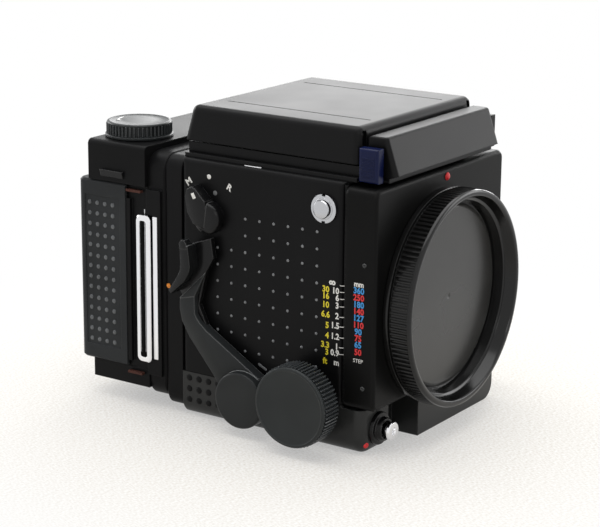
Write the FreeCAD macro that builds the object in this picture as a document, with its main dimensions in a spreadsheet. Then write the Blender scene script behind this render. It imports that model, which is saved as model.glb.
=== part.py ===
"""Medium format film camera with a bellows-focused front standard, a waist-level
finder and a revolving film back.

Millimetres. The lens looks along -Y, +Z is up and the photographer's right hand is
at -X. The origin is the mouth of the tripod socket in the base.
"""
import FreeCAD, Part
import math
import os
import re
import Sketcher

V = FreeCAD.Vector

SIZES = [
    # front standard, measured along Y from the tripod socket
    ("front_face", -55.0, "front of the front standard"),
    ("lens_axis_tall", 59.0, "height of the lens axis above the ground"),
    ("standard_wide", 102.8, "width of the front standard"),
    ("standard_deep", 14.5, "depth of the front standard"),
    ("standard_foot", 20.4, "underside of the front standard"),
    ("standard_top", 112.4, "top of the front standard"),
    ("standard_wall", 3.0, "side wall of the front standard"),
    ("standard_plate", 4.0, "thickness of its front plate"),
    ("standard_round", 3.5, "corner radius of the front standard"),
    ("standard_gap", 1.8, "gap between the standard and the body"),
    ("standard_travel", 46.0, "travel of the bellows focusing"),
    ("throat_radius", 33.0, "hole for the lens in the front plate"),
    ("mount_ring_radius", 37.5, "outer radius of the lens mount ring"),
    ("mount_ring_proud", 1.8, "how far the mount ring stands out"),
    ("mount_bore_radius", 30.5, "bore of the lens mount ring"),
    ("mount_spigot_deep", 4.0, "how far the mount ring reaches inside"),
    # body cap
    ("cap_radius", 46.0, "outer radius of the body cap"),
    ("cap_deep", 13.0, "how far the cap stands out of the standard"),
    ("cap_face_set", 8.8, "depth of the dished face behind the rim"),
    ("cap_rib_count", 48, "grip ribs round the cap"),
    ("rib_deep", 0.7, "depth of the grip ribs on cap, knobs and dial"),
    # body
    ("body_wide", 99.8, "width over the side covers"),
    ("body_deep", 81.4, "depth of the body between its frames"),
    ("body_tall", 113.8, "height of the body without the finder"),
    ("base_tall", 20.1, "height of the base housing"),
    ("bay_deep", 6.9, "depth of the bay behind each side cover"),
    ("cover_wall", 2.0, "wall of the side covers"),
    ("cover_round", 2.4, "edge radius of the side covers"),
    ("chamber_half", 38.0, "half width of the mirror chamber"),
    ("chamber_floor", 33.0, "floor of the mirror chamber"),
    ("chamber_roof", 110.0, "roof of the mirror chamber"),
    ("chamber_lip", 3.0, "thickness of the frame at its front"),
    ("chamber_lip_half", 37.0, "half width of the opening in that frame"),
    ("chamber_lip_top", 104.0, "top of that opening"),
    ("screen_half", 36.0, "half width of the focusing screen"),
    ("screen_deep", 66.0, "length of the focusing screen"),
    ("screen_inset", 8.7, "front edge of the screen behind the body front"),
    ("screen_thick", 1.6, "thickness of the focusing screen"),
    ("screen_ledge", 2.0, "ledge that the screen lies on"),
    # base
    ("base_front", 1.0, "front of the base behind the front face"),
    ("base_floor", 3.0, "floor of the base housing"),
    ("base_edge", 7.0, "radius of the long lower edges"),
    ("nose_front", 5.8, "front of the release nose behind the front face"),
    ("nose_inner", -30.0, "inner side of the release nose"),
    ("recess_inner", -14.0, "inner side of the recess beside the nose"),
    ("recess_back", 14.0, "back of that recess behind the front face"),
    ("plate_thick", 1.5, "thickness of the base plate"),
    ("plate_half", 40.0, "half width of the base plate"),
    ("bush_radius", 8.0, "outer radius of the tripod bush"),
    ("socket_radius", 3.175, "radius of the quarter inch tripod thread"),
    ("bush_tall", 9.0, "length of the tripod bush"),
    ("battery_radius", 6.5, "radius of the battery"),
    ("battery_long", 25.2, "length of the battery"),
    ("battery_back", 84.0, "battery axis behind the front face"),
    ("battery_tall", 11.4, "height of the battery axis"),
    # top
    ("top_thick", 1.8, "thickness of the top cover"),
    ("top_half", 47.5, "half width of the top cover"),
    ("neck_half", 41.4, "half width of the overhang above the standard"),
    ("finder_front", 12.0, "front of the finder behind the front face"),
    ("finder_deep", 85.3, "depth of the finder base"),
    ("finder_half", 44.9, "half width of the finder base"),
    ("finder_wall", 2.3, "wall of the finder base"),
    ("finder_tall", 4.3, "height of the finder base"),
    ("plate_bar_half", 41.7, "half width of the nameplate bar"),
    ("plate_bar_top", 132.0, "top of the nameplate bar"),
    ("plate_bar_lip", 116.8, "lower edge of its sloping face"),
    ("plate_bar_out", 3.1, "how far that edge stands before the front face"),
    ("plate_bar_lean", 5.2, "how far the face leans back over its height"),
    ("plate_bar_back", 10.4, "back of the bar behind the front face"),
    ("button_front", 2.2, "front of the finder buttons behind the front face"),
    ("button_deep", 9.0, "depth of the finder buttons"),
    ("button_top", 128.0, "top of the finder buttons"),
    ("button_thick", 4.4, "thickness of the finder buttons"),
    ("button_travel", 1.5, "travel of the finder buttons"),
    ("button_stem", 2.5, "radius of their stems"),
    # hood
    ("lid_top", 135.3, "top of the hood lid"),
    ("lid_rim", 120.5, "lower rim of the hood lid"),
    ("lid_half", 45.7, "half width of the rim"),
    ("lid_draft", 1.1, "how far the sides lean in over their height"),
    ("lid_back", 99.6, "back of the rim behind the front face"),
    ("lid_back_lean", 3.4, "how far the back leans in over its height"),
    ("lid_wall", 1.8, "wall of the lid"),
    ("lid_round", 3.2, "edge radius of the lid"),
    ("lid_axis_back", 15.2, "lid hinge behind the front face"),
    ("lid_axis_drop", 3.8, "lid hinge below the top of the lid"),
    ("lid_pin", 1.2, "radius of the lid hinge pins"),
    ("groove_side", 28.4, "grooves in the lid's top, from the middle"),
    ("groove_front", 18.0, "front ends of those grooves behind the front face"),
    ("groove_long", 71.0, "length of the grooves"),
    ("groove_wide", 0.7, "width of the grooves"),
    ("groove_deep", 0.5, "depth of the grooves"),
    ("ear_inner", 40.2, "inner face of the hinge ears"),
    ("ear_thick", 2.2, "thickness of the hinge ears"),
    ("panel_thick", 0.8, "thickness of the folding panels"),
    ("panel_rod", 0.7, "radius of the panels' hinge rods"),
    ("side_panel_tall", 38.0, "height of the side panels when they stand"),
    ("side_panel_front", 27.2, "front edge of the side panels"),
    ("side_panel_back", 91.4, "rear edge of the side panels"),
    ("side_panel_axis", 41.6, "side panel hinge from the middle"),
    ("rear_panel_tall", 38.0, "height of the rear panel when it stands"),
    ("rear_panel_axis", 93.2, "rear panel hinge behind the front face"),
    ("rear_panel_half", 40.7, "half width of the rear panel"),
    ("magnifier_axis", 45.2, "magnifier hinge behind the front face"),
    ("magnifier_long", 34.0, "length of the magnifier frame"),
    ("magnifier_half", 18.5, "half width of the magnifier frame"),
    ("magnifier_radius", 14.0, "radius of the magnifier lens"),
    # mirror
    ("mirror_axis_back", 92.5, "mirror hinge behind the front face"),
    ("mirror_axis_tall", 105.8, "height of the mirror hinge"),
    ("mirror_long", 69.0, "length of the mirror from its hinge"),
    ("mirror_half", 35.0, "half width of the mirror"),
    ("mirror_angle", 45.0, "angle of the mirror at rest"),
    ("mirror_shaft_radius", 2.0, "radius of the mirror shaft"),
    # focusing
    ("focus_back", 30.0, "focusing shaft behind the front face"),
    ("focus_tall", 21.5, "height of the focusing shaft"),
    ("focus_shaft_radius", 3.0, "radius of the focusing shaft"),
    ("knob_radius", 17.4, "radius of the focusing knobs"),
    ("knob_face", 67.8, "outer face of the knobs from the middle"),
    ("knob_deep", 11.0, "depth of the knobs"),
    ("knob_rib_count", 32, "grip ribs round each knob"),
    ("pitch_radius", 5.0, "pitch radius of the focusing pinions"),
    ("pinion_teeth", 10, "teeth on each focusing pinion"),
    ("rack_near", 43.6, "inner face of the racks and pinions"),
    ("rack_thick", 3.4, "thickness of the racks and pinions"),
    ("rack_tall", 4.4, "height of the racks above their teeth"),
    ("rack_back", 84.0, "rear end of the racks behind the front face"),
    ("rack_tooth_count", 18, "teeth on each rack"),
    # levers and controls at the right hand
    ("cocking_back", 60.8, "cocking lever pivot behind the front face"),
    ("cocking_tall", 16.2, "height of the cocking lever pivot"),
    ("cocking_disc", 12.2, "radius of the disc over the pivot"),
    ("cocking_shaft_radius", 3.0, "radius of the cocking shaft"),
    ("cocking_out", 1.9, "gap between the body and the cocking lever"),
    ("cocking_thick", 4.8, "thickness of the cocking lever's lower arm"),
    ("cocking_blade", 2.4, "thickness of its upper blade"),
    ("cocking_flange", 8.4, "how far its thumb flange stands out"),
    ("cocking_crest", 4.6, "where the flange's crest clears the mode lever"),
    ("mode_back", 82.0, "mode lever pivot behind the front face"),
    ("mode_tall", 90.2, "height of the mode lever pivot"),
    ("mode_hub", 7.0, "radius of the mode lever hub"),
    ("release_side", -38.0, "release button from the middle"),
    ("release_tall", 9.6, "height of the release button"),
    ("release_radius", 3.8, "radius of the release button"),
    ("release_travel", 1.5, "travel of the release button"),
    ("collar_radius", 7.0, "radius of the release collar"),
    ("lug_back", 25.3, "strap lug behind the front face"),
    ("lug_tall", 102.0, "height of the strap lugs"),
    ("lug_radius", 5.6, "radius of the strap lugs"),
    # controls at the left hand
    ("dial_back", 66.0, "speed dial behind the front face"),
    ("dial_tall", 88.0, "height of the speed dial"),
    ("dial_radius", 14.5, "radius of the speed dial"),
    ("dial_rib_count", 24, "grip ribs round the speed dial"),
    ("lock_back", 57.0, "focus lock pivot behind the front face"),
    ("lock_tall", 30.0, "height of the focus lock pivot"),
    ("shoe_back", 36.0, "middle of the accessory shoe behind the front face"),
    ("shoe_foot", 76.0, "lower end of the accessory shoe"),
    ("shoe_long", 18.0, "length of the accessory shoe"),
    ("shoe_slot", 18.6, "width of the slot in the shoe"),
    ("shoe_gap", 2.0, "height of the slot in the shoe"),
    ("sync_back", 36.0, "flash socket behind the front face"),
    ("sync_tall", 60.0, "height of the flash socket"),
    # rear frame and revolving adapter
    ("rear_frame_deep", 8.8, "depth of the rear frame"),
    ("rear_frame_foot", 2.7, "underside of the rear frame"),
    ("gate_wide", 69.5, "width of the picture"),
    ("gate_tall", 56.0, "height of the picture"),
    ("turn_gap", 0.3, "gap before the revolving adapter"),
    ("turn_radius", 47.4, "radius of the adapter's bearing ring"),
    ("turn_bore", 43.8, "hole through the adapter"),
    ("turn_deep", 3.4, "depth of the bearing ring"),
    ("adapter_deep", 9.1, "depth of the adapter"),
    ("adapter_half", 49.6, "half width of the adapter"),
    ("adapter_half_tall", 54.4, "half height of the adapter"),
    ("adapter_round", 8.0, "corner radius of the adapter"),
    ("rail_proud", 1.6, "how far the guard rails beside the loop handle stand out"),
    ("rail_foot", 15.0, "lower end of the guard rails"),
    ("rail_top", 97.6, "upper end of the guard rails"),
    ("rail_deep", 7.6, "depth of the adapter's guard rail"),
    # film back
    ("holder_deep", 31.1, "depth of the film holder"),
    ("holder_half", 51.8, "half width of the film holder"),
    ("holder_foot", 8.5, "underside of the film holder"),
    ("holder_top", 116.0, "top of the film holder"),
    ("holder_step", 1.9, "how far its middle steps in under the door"),
    ("holder_wall", 2.0, "wall of the film holder"),
    ("holder_front_wall", 3.6, "front wall of the film holder"),
    ("film_room_tall", 67.5, "height of the film room"),
    ("slide_thick", 0.5, "thickness of the dark slide"),
    ("slide_foot", 24.6, "lower edge of the dark slide"),
    ("slide_tall", 64.0, "height of the dark slide"),
    ("slide_back", 1.1, "dark slide behind the holder's front"),
    ("slide_reach", 37.5, "far end of the dark slide from the middle"),
    ("slide_travel", 78.0, "travel of the dark slide"),
    ("handle_thick", 7.1, "width of the loop handle"),
    ("handle_out", 2.6, "how far the loop handle stands out"),
    ("handle_offset", 2.0, "loop handle behind the middle of the dark slide"),
    ("handle_foot", 22.7, "lower end of the loop handle"),
    ("handle_tall", 63.7, "height of the loop handle"),
    ("handle_bar", 2.3, "thickness of the loop's bar"),
    ("spool_side", 33.0, "spool axis from the middle"),
    ("spool_back", 17.7, "spool axis behind the holder's front"),
    ("spool_radius", 12.2, "radius of the spool flanges"),
    ("wind_radius", 14.8, "radius of the wind knob"),
    ("wind_tall", 7.0, "height of the wind knob"),
    ("wind_rib_count", 24, "grip ribs round the wind knob"),
    ("door_deep", 6.2, "depth of the back door"),
    ("door_foot", 17.0, "lower edge of the back door"),
    ("door_top", 98.3, "upper edge of the back door"),
    ("door_wall", 1.6, "wall of the back door"),
    ("door_wing", 20.4, "how far the door wraps forward"),
    ("door_round", 3.5, "rear corner radius of the back door"),
    ("door_pin", 1.2, "radius of the door hinge pin"),
    ("field_sink", 0.4, "depth of the sunk field on the door's side"),
    ("field_edge", 3.4, "margin of that field"),
    ("note_half", 36.0, "half the width of the sunk note panel on the door's back"),
    ("note_edge", 13.0, "margin above and below that panel"),
    ("note_sink", 0.6, "depth of that panel"),
    # fits
    ("run_fit", 0.05, "radial clearance of a shaft in its bearing"),
    ("slide_fit", 0.3, "gap between parts that move past each other"),
]

WORDS = {alias for alias, value, note in SIZES}

doc = FreeCAD.newDocument("camera")
sheet = doc.addObject("Spreadsheet::Sheet", "sizes")
for row, (alias, value, note) in enumerate(SIZES, start=1):
    sheet.set(f"A{row}", str(value))
    sheet.setAlias(f"A{row}", alias)
    sheet.set(f"B{row}", note)
doc.recompute()

# places along Y that several pieces share, worked out from the sheet
BODY_FRONT = "(front_face + standard_deep + standard_gap)"
BODY_BACK = f"({BODY_FRONT} + body_deep)"
FRAME_BACK = f"({BODY_BACK} + rear_frame_deep)"
ADAPTER_FRONT = f"({FRAME_BACK} + turn_gap)"
ADAPTER_BACK = f"({ADAPTER_FRONT} + adapter_deep)"
HOLDER_BACK = f"({ADAPTER_BACK} + holder_deep)"
DOOR_FRONT = f"({HOLDER_BACK} + slide_fit)"
DOOR_BACK = f"({DOOR_FRONT} + door_deep)"
# places along X and Z
BODY_HALF = "(body_wide / 2)"
CASTING_HALF = f"({BODY_HALF} - bay_deep)"
TOP_FACE = "(body_tall + top_thick)"
FINDER_TOP = f"({TOP_FACE} + finder_tall)"
LID_AXIS = "(lid_top - lid_axis_drop)"
FILM_ROOM_FOOT = "(lens_axis_tall - film_room_tall / 2)"
FILM_ROOM_TOP = "(lens_axis_tall + film_room_tall / 2)"
NEAR_SIDE = "(holder_half - holder_step)"


def behind(distance):
    """A place along Y, given its distance behind the front face."""
    return f"(front_face + {distance})"


def link(text):
    """The expression with each size named as a cell of the sheet."""
    return re.sub(r"[a-z_]+", lambda word: "sizes." + word.group() if word.group() in WORDS else word.group(),
                  str(text))


def num(text):
    """The value of an expression."""
    return float(sheet.evalExpression(link(text)))


def tie(thing, path, text):
    """Binds one property to the sheet."""
    thing.setExpression(path, link(text))


def mirrored(side, inner, outer):
    """The span between two distances from the middle, on the left (1) or right (-1)."""
    if side > 0:
        return (inner, outer)
    return (f"-({outer})", f"-({inner})")


# Part primitives

TURNS = {
    "x": FreeCAD.Rotation(V(0, 1, 0), 90),
    "y": FreeCAD.Rotation(V(1, 0, 0), -90),
    "z": FreeCAD.Rotation(),
}


def block(name, x, y, z):
    """A block between two limits along each axis."""
    thing = doc.addObject("Part::Box", name)
    for side, axis, (low, high) in (("Length", "x", x), ("Width", "y", y), ("Height", "z", z)):
        tie(thing, side, f"({high}) - ({low})")
        tie(thing, f"Placement.Base.{axis}", low)
    return thing


def bar(name, axis, at, radius, span):
    """A round bar along an axis, at two coordinates across it."""
    thing = doc.addObject("Part::Cylinder", name)
    thing.Placement = FreeCAD.Placement(V(), TURNS[axis])
    tie(thing, "Radius", radius)
    tie(thing, "Height", f"({span[1]}) - ({span[0]})")
    tie(thing, f"Placement.Base.{axis}", span[0])
    for across, place in zip([a for a in "xyz" if a != axis], at):
        tie(thing, f"Placement.Base.{across}", place)
    return thing


def fuse(name, *pieces):
    """Pieces grown together."""
    thing = doc.addObject("Part::MultiFuse", name)
    thing.Shapes = list(pieces)
    thing.Refine = True
    return thing


def cut(name, base, *tools):
    """A piece less its cutting tools."""
    tool = tools[0] if len(tools) == 1 else fuse(name + "_tools", *tools)
    thing = doc.addObject("Part::Cut", name)
    thing.Base = base
    thing.Tool = tool
    thing.Refine = True
    return thing


def pair(name, *pieces):
    """Separate solids that share one node."""
    thing = doc.addObject("Part::Compound", name)
    thing.Links = list(pieces)
    return thing


# PartDesign features

PLANES = {"x": "YZ_Plane", "y": "XZ_Plane", "z": "XY_Plane"}


def new_body(name):
    """An empty body for features."""
    return doc.addObject("PartDesign::Body", name)


def outline(body, name, axis, low, points):
    """A closed outline square to an axis; each coordinate is bound to the sheet."""
    sketch = body.newObject("Sketcher::SketchObject", name)
    plane = [o for o in body.Origin.OriginFeatures if o.Role == PLANES[axis]][0]
    sketch.AttachmentSupport = (plane, [""])
    sketch.MapMode = "FlatFace"
    tie(sketch, "AttachmentOffset.Base.z", f"-({low})" if axis == "y" else low)
    corners = [V(num(a), num(b), 0) for a, b in points]
    for index, corner in enumerate(corners):
        sketch.addGeometry(Part.LineSegment(corner, corners[(index + 1) % len(corners)]), False)
    for index in range(len(corners)):
        sketch.addConstraint(Sketcher.Constraint("Coincident", index, 2, (index + 1) % len(corners), 1))
    for index, (place, corner) in enumerate(zip(points, corners)):
        for kind, text, value in (("DistanceX", place[0], corner.x), ("DistanceY", place[1], corner.y)):
            number = sketch.addConstraint(Sketcher.Constraint(kind, -1, 1, index, 1, value))
            tie(sketch, f"Constraints[{number}]", text)
    return sketch


def ring(body, name, axis, low, centre, radius):
    """A circle square to an axis."""
    sketch = body.newObject("Sketcher::SketchObject", name)
    plane = [o for o in body.Origin.OriginFeatures if o.Role == PLANES[axis]][0]
    sketch.AttachmentSupport = (plane, [""])
    sketch.MapMode = "FlatFace"
    tie(sketch, "AttachmentOffset.Base.z", f"-({low})" if axis == "y" else low)
    middle = V(num(centre[0]), num(centre[1]), 0)
    sketch.addGeometry(Part.Circle(middle, V(0, 0, 1), num(radius)), False)
    for kind, text, value in (("DistanceX", centre[0], middle.x), ("DistanceY", centre[1], middle.y)):
        number = sketch.addConstraint(Sketcher.Constraint(kind, -1, 1, 0, 3, value))
        tie(sketch, f"Constraints[{number}]", text)
    number = sketch.addConstraint(Sketcher.Constraint("Radius", 0, num(radius)))
    tie(sketch, f"Constraints[{number}]", radius)
    return sketch


def pad(body, sketch, axis, span):
    """Material from the sketch to the far end of the span."""
    thing = body.newObject("PartDesign::Pad", sketch.Name + "_pad")
    thing.Profile = sketch
    tie(thing, "Length", f"({span[1]}) - ({span[0]})")
    thing.Reversed = axis == "y"
    return thing


def pocket(body, sketch, axis, span):
    """A hollow from the sketch to the far end of the span."""
    thing = body.newObject("PartDesign::Pocket", sketch.Name + "_pocket")
    thing.Profile = sketch
    tie(thing, "Length", f"({span[1]}) - ({span[0]})")
    thing.Reversed = axis != "y"
    return thing


def rectangle(x, y):
    """The four corners between two spans."""
    return [(x[0], y[0]), (x[1], y[0]), (x[1], y[1]), (x[0], y[1])]


def add(body, name, axis, span, points):
    """A prism of an outline, added to the body."""
    return pad(body, outline(body, name, axis, span[0], points), axis, span)


def remove(body, name, axis, span, points):
    """A prism of an outline, taken from the body."""
    return pocket(body, outline(body, name, axis, span[0], points), axis, span)


def bore(body, name, axis, at, radius, span):
    """A round hole, taken from the body."""
    return pocket(body, ring(body, name, axis, span[0], at, radius), axis, span)


def straight_along(edge, axis):
    """Whether an edge is straight and runs along an axis."""
    if not isinstance(edge.Curve, Part.Line):
        return False
    return abs(getattr(edge.Curve.Direction, axis)) > 0.999


def dressed(body, name, kind, cell, size, pick):
    """A fillet or chamfer on the edges that pick accepts."""
    doc.recompute()
    base = body.Tip
    names = [f"Edge{i}" for i, edge in enumerate(base.Shape.Edges, start=1) if pick(edge, edge.BoundBox.Center)]
    thing = body.newObject(f"PartDesign::{kind}", name)
    thing.Base = (base, names)
    tie(thing, cell, size)
    return thing


def soften(body, name, radius, pick):
    """Rounds the edges that pick accepts."""
    return dressed(body, name, "Fillet", "Radius", radius, pick)


def bevel(body, name, size, pick):
    """Chamfers the edges that pick accepts."""
    return dressed(body, name, "Chamfer", "Size", size, pick)


def turned(name, axis, at, points):
    """A piece turned about an axis; its points are (along, radius)."""
    body = new_body(name)
    lengthwise = axis == "x"
    flat = [place if lengthwise else (place[1], place[0]) for place in points]
    sketch = outline(body, name + "_profile", "y" if axis == "z" else "z", "0", flat)
    thing = body.newObject("PartDesign::Revolution", name + "_turn")
    thing.Profile = sketch
    thing.ReferenceAxis = (sketch, ["H_Axis" if lengthwise else "V_Axis"])
    thing.Angle = 360
    for across, place in zip([a for a in "xyz" if a != axis], at):
        tie(body, f"Placement.Base.{across}", place)
    return body


def ribbed(name, axis, at, radius, hole, count, span):
    """A disc with grip ribs round its rim; each rib is a four-point wave of a formula."""
    many = int(round(num(count)))
    outer = num(radius)
    inner = outer - num("rib_deep")
    step = 2 * math.pi / many
    rim = []
    for index in range(many):
        for share, reach in ((0.0, inner), (0.18, outer), (0.62, outer), (0.8, inner)):
            angle = (index + share) * step
            rim.append(V(reach * math.cos(angle), reach * math.sin(angle), 0))
    wires = [Part.makePolygon(rim + rim[:1])]
    if num(hole) > 0:
        wires.append(Part.Wire(Part.makeCircle(num(hole))))
    face = Part.Face(wires, "Part::FaceMakerBullseye")
    thing = doc.addObject("Part::Feature", name)
    thing.Shape = face.extrude(V(0, 0, num(span[1]) - num(span[0])))
    place = dict(zip([a for a in "xyz" if a != axis], [num(text) for text in at]))
    place[axis] = num(span[0])
    thing.Placement = FreeCAD.Placement(V(place["x"], place["y"], place["z"]), TURNS[axis])
    return thing


NODES = {}


def keep(name, thing):
    """Files a finished piece under its node name."""
    thing.Label = name
    NODES[name] = thing
    return thing


# Body

def body_casting():
    """The die-cast frame round the mirror chamber."""
    body = new_body("casting")
    add(body, "casting_block", "y", (BODY_FRONT, BODY_BACK),
        rectangle((f"-{CASTING_HALF}", CASTING_HALF), ("base_tall", "body_tall")))
    remove(body, "chamber_mouth", "y", (BODY_FRONT, f"{BODY_FRONT} + chamber_lip"),
           rectangle(("-chamber_lip_half", "chamber_lip_half"), ("chamber_floor", "chamber_lip_top")))
    remove(body, "chamber", "y", (f"{BODY_FRONT} + chamber_lip", BODY_BACK),
           rectangle(("-chamber_half", "chamber_half"), ("chamber_floor", "chamber_roof")))
    light = f"({BODY_FRONT} + screen_inset + screen_ledge)"
    dark = f"({BODY_FRONT} + screen_inset + screen_deep - screen_ledge)"
    remove(body, "screen_window", "z", ("chamber_roof", "body_tall"),
           rectangle(("-screen_half + screen_ledge", "screen_half - screen_ledge"), (light, dark)))
    shaft = bar("casting_shaft_bore", "x", (behind("focus_back"), "focus_tall"),
                "focus_shaft_radius + run_fit", (f"-{BODY_HALF}", BODY_HALF))
    mirror = bar("casting_mirror_bore", "x", (behind("mirror_axis_back"), "mirror_axis_tall"),
                 "mirror_shaft_radius + run_fit", ("-chamber_half - 3", "chamber_half + 3"))
    keep("body_casting", cut("casting_bored", body, shaft, mirror))


def side_cover(name, side, holes):
    """A moulded side cover with a bay behind it for the racks, pinions and wiring."""
    body = new_body(name + "_shell")
    outer = mirrored(side, CASTING_HALF, BODY_HALF)
    add(body, name + "_block", "x", outer, rectangle((BODY_FRONT, BODY_BACK), ("base_tall", "body_tall")))
    skin = side * num(BODY_HALF)
    top = num("body_tall")
    soften(body, name + "_corners", "cover_round",
           lambda edge, middle: abs(middle.x - skin) < 0.01
           and (straight_along(edge, "z") or (straight_along(edge, "y") and middle.z > top - 1)))
    bay = mirrored(side, CASTING_HALF, f"{BODY_HALF} - cover_wall")
    remove(body, name + "_bay", "x", bay,
           rectangle((f"{BODY_FRONT} + cover_wall", f"{BODY_BACK} - cover_wall"),
                     ("base_tall + cover_wall", "body_tall - cover_wall")))
    rack = mirrored(side, "rack_near - slide_fit", "rack_near + rack_thick + slide_fit")
    slot = block(name + "_rack_slot", rack, (f"{BODY_FRONT} - 1", f"{BODY_FRONT} + cover_wall + 1"),
                 ("focus_tall + pitch_radius - 1.2", "focus_tall + pitch_radius + 1.1 + rack_tall + slide_fit"))
    pinion = bar(name + "_pinion_room", "x", (behind("focus_back"), "focus_tall"),
                 "pitch_radius + 1.4", bay)
    shaft = bar(name + "_shaft_hole", "x", (behind("focus_back"), "focus_tall"),
                "focus_shaft_radius + slide_fit", outer)
    holes = [bar(f"{name}_hole_{index}", "x", at, radius, outer) for index, (at, radius) in enumerate(holes)]
    keep(name, cut(name + "_cut", body, slot, pinion, shaft, *holes))


def side_covers():
    """The covers at the photographer's right and left hand."""
    side_cover("right_side_cover", -1, [
        ((behind("mode_back"), "mode_tall"), "mode_hub / 3 + run_fit"),
    ])
    side_cover("left_side_cover", 1, [
        ((behind("dial_back"), "dial_tall"), "dial_radius / 4 + run_fit"),
        ((behind("lock_back"), "lock_tall"), "2.5 + run_fit"),
    ])


def base_housing():
    """The base with the release nose, the battery room and the tripod bush's seat."""
    body = new_body("base_shell")
    low, high = f"-{BODY_HALF}", BODY_HALF
    nose, recess, front = behind("nose_front"), behind("recess_back"), behind("base_front")
    add(body, "base_block", "z", ("0", "base_tall"), [
        (low, nose), ("nose_inner", nose), ("nose_inner", recess), ("recess_inner", recess),
        ("recess_inner", front), (high, front), (high, BODY_BACK), (low, BODY_BACK)])
    half = num(BODY_HALF)
    soften(body, "base_long_edges", "base_edge",
           lambda edge, middle: straight_along(edge, "y") and middle.z < 0.01 and abs(middle.x) > half - 0.01)
    nose_face = num(nose)
    soften(body, "nose_under", "4.4",
           lambda edge, middle: straight_along(edge, "x") and middle.z < 0.01
           and abs(middle.y - nose_face) < 0.01)
    remove(body, "base_front_step", "z", ("base_tall - 0.6", "base_tall"),
           rectangle((f"{low} - 1", f"{high} + 1"), (f"{front} - 1", f"{BODY_FRONT} - slide_fit")))
    remove(body, "base_room", "z", ("base_floor", "base_tall"),
           rectangle((f"-{CASTING_HALF}", CASTING_HALF),
                     (f"{BODY_FRONT} + 2 * cover_wall", f"{BODY_BACK} - 2 * cover_wall")))
    remove(body, "plate_recess", "z", ("0", "plate_thick"),
           rectangle(("-plate_half", "plate_half"),
                     (f"{BODY_FRONT} + base_edge", f"{BODY_BACK} - base_edge")))
    socket = bar("base_bush_hole", "z", ("0", "0"), "bush_radius + run_fit", ("-1", "base_floor + 1"))
    pinions = bar("base_pinion_room", "x", (behind("focus_back"), "focus_tall"), "pitch_radius + 1.4",
                  (f"-{BODY_HALF} + cover_wall", f"{BODY_HALF} - cover_wall"))
    shaft = bar("base_shaft_groove", "x", (behind("focus_back"), "focus_tall"),
                "focus_shaft_radius + slide_fit", (low, high))
    pivot = bar("base_cocking_hole", "x", (behind("cocking_back"), "cocking_tall"),
                "cocking_shaft_radius + run_fit", (low, "0"))
    at = (behind("battery_back"), "battery_tall")
    cradle = block("base_cradle", (f"{CASTING_HALF} - battery_long - 2", f"{CASTING_HALF} + 1"),
                   (f"{at[0]} - battery_radius - 1.5", f"{at[0]} + battery_radius + 1.5"),
                   ("base_floor - 1", "battery_tall"))
    battery = bar("base_battery_bed", "x", at, "battery_radius + run_fit",
                  (f"{CASTING_HALF} - battery_long - 0.3", high))
    cover = bar("base_battery_mouth", "x", at, "battery_radius + 0.9 + run_fit", (f"{CASTING_HALF} - 0.3", high))
    sleeve = bar("base_release_sleeve", "y", ("release_side", "release_tall"),
                 "release_radius + 1.2 + run_fit", (behind("nose_front - 1"), behind("nose_front + 3.4")))
    stem = bar("base_release_stem", "y", ("release_side", "release_tall"),
               "release_radius - 1.4 + run_fit", (behind("nose_front"), behind("nose_front + 8.8")))
    keep("base_housing", cut("base_cut", fuse("base_whole", body, cradle), socket, pinions, shaft, pivot,
                             battery, cover, sleeve, stem))


def base_fittings():
    """Base plate, tripod bush, battery and its cover."""
    plate = block("plate_block", ("-plate_half + 0.1", "plate_half - 0.1"),
                  (f"{BODY_FRONT} + base_edge + 0.1", f"{BODY_BACK} - base_edge - 0.1"), ("0", "plate_thick"))
    hole = bar("plate_hole", "z", ("0", "0"), "bush_radius + run_fit", ("-1", "plate_thick + 1"))
    keep("base_plate", cut("plate_cut", plate, hole))
    bush = bar("bush_bar", "z", ("0", "0"), "bush_radius", ("0", "bush_tall"))
    thread = bar("bush_thread", "z", ("0", "0"), "socket_radius", ("-1", "bush_tall + 1"))
    keep("tripod_bush", cut("bush_cut", bush, thread))
    at = (behind("battery_back"), "battery_tall")
    inner = f"({CASTING_HALF} - 0.2)"
    keep("battery", bar("battery_bar", "x", at, "battery_radius", (f"{inner} - battery_long", inner)))
    cover = bar("battery_cover_bar", "x", at, "battery_radius + 0.9", (f"{inner} + 0.1", f"{BODY_HALF} - 0.4"))
    slot = block("battery_cover_slot", (f"{BODY_HALF} - 1.6", f"{BODY_HALF} + 1"),
                 (f"{at[0]} - 5", f"{at[0]} + 5"), (f"{at[1]} - 0.8", f"{at[1]} + 0.8"))
    keep("battery_cover", cut("battery_cover_cut", cover, slot))


def focusing_screen():
    """The ground glass on its ledge above the mirror chamber."""
    keep("focusing_screen", block(
        "screen_glass", ("-screen_half", "screen_half"),
        (f"{BODY_FRONT} + screen_inset", f"{BODY_FRONT} + screen_inset + screen_deep"),
        ("body_tall", "body_tall + screen_thick")))


def top_cover():
    """The top cover, with the overhang that carries the nameplate bar."""
    body = new_body("top_plate")
    neck_front, front, back = behind("0.6"), behind("finder_front"), f"{BODY_BACK} - 0.2"
    add(body, "top_block", "z", ("body_tall", TOP_FACE), [
        ("-neck_half", neck_front), ("neck_half", neck_front), ("neck_half", front), ("top_half", front),
        ("top_half", back), ("-top_half", back), ("-top_half", front), ("-neck_half", front)])
    remove(body, "screen_seat", "z", ("body_tall", TOP_FACE),
           rectangle(("-screen_half - slide_fit", "screen_half + slide_fit"),
                     (f"{BODY_FRONT} + screen_inset - slide_fit",
                      f"{BODY_FRONT} + screen_inset + screen_deep + slide_fit")))
    keep("top_cover", body)


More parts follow.
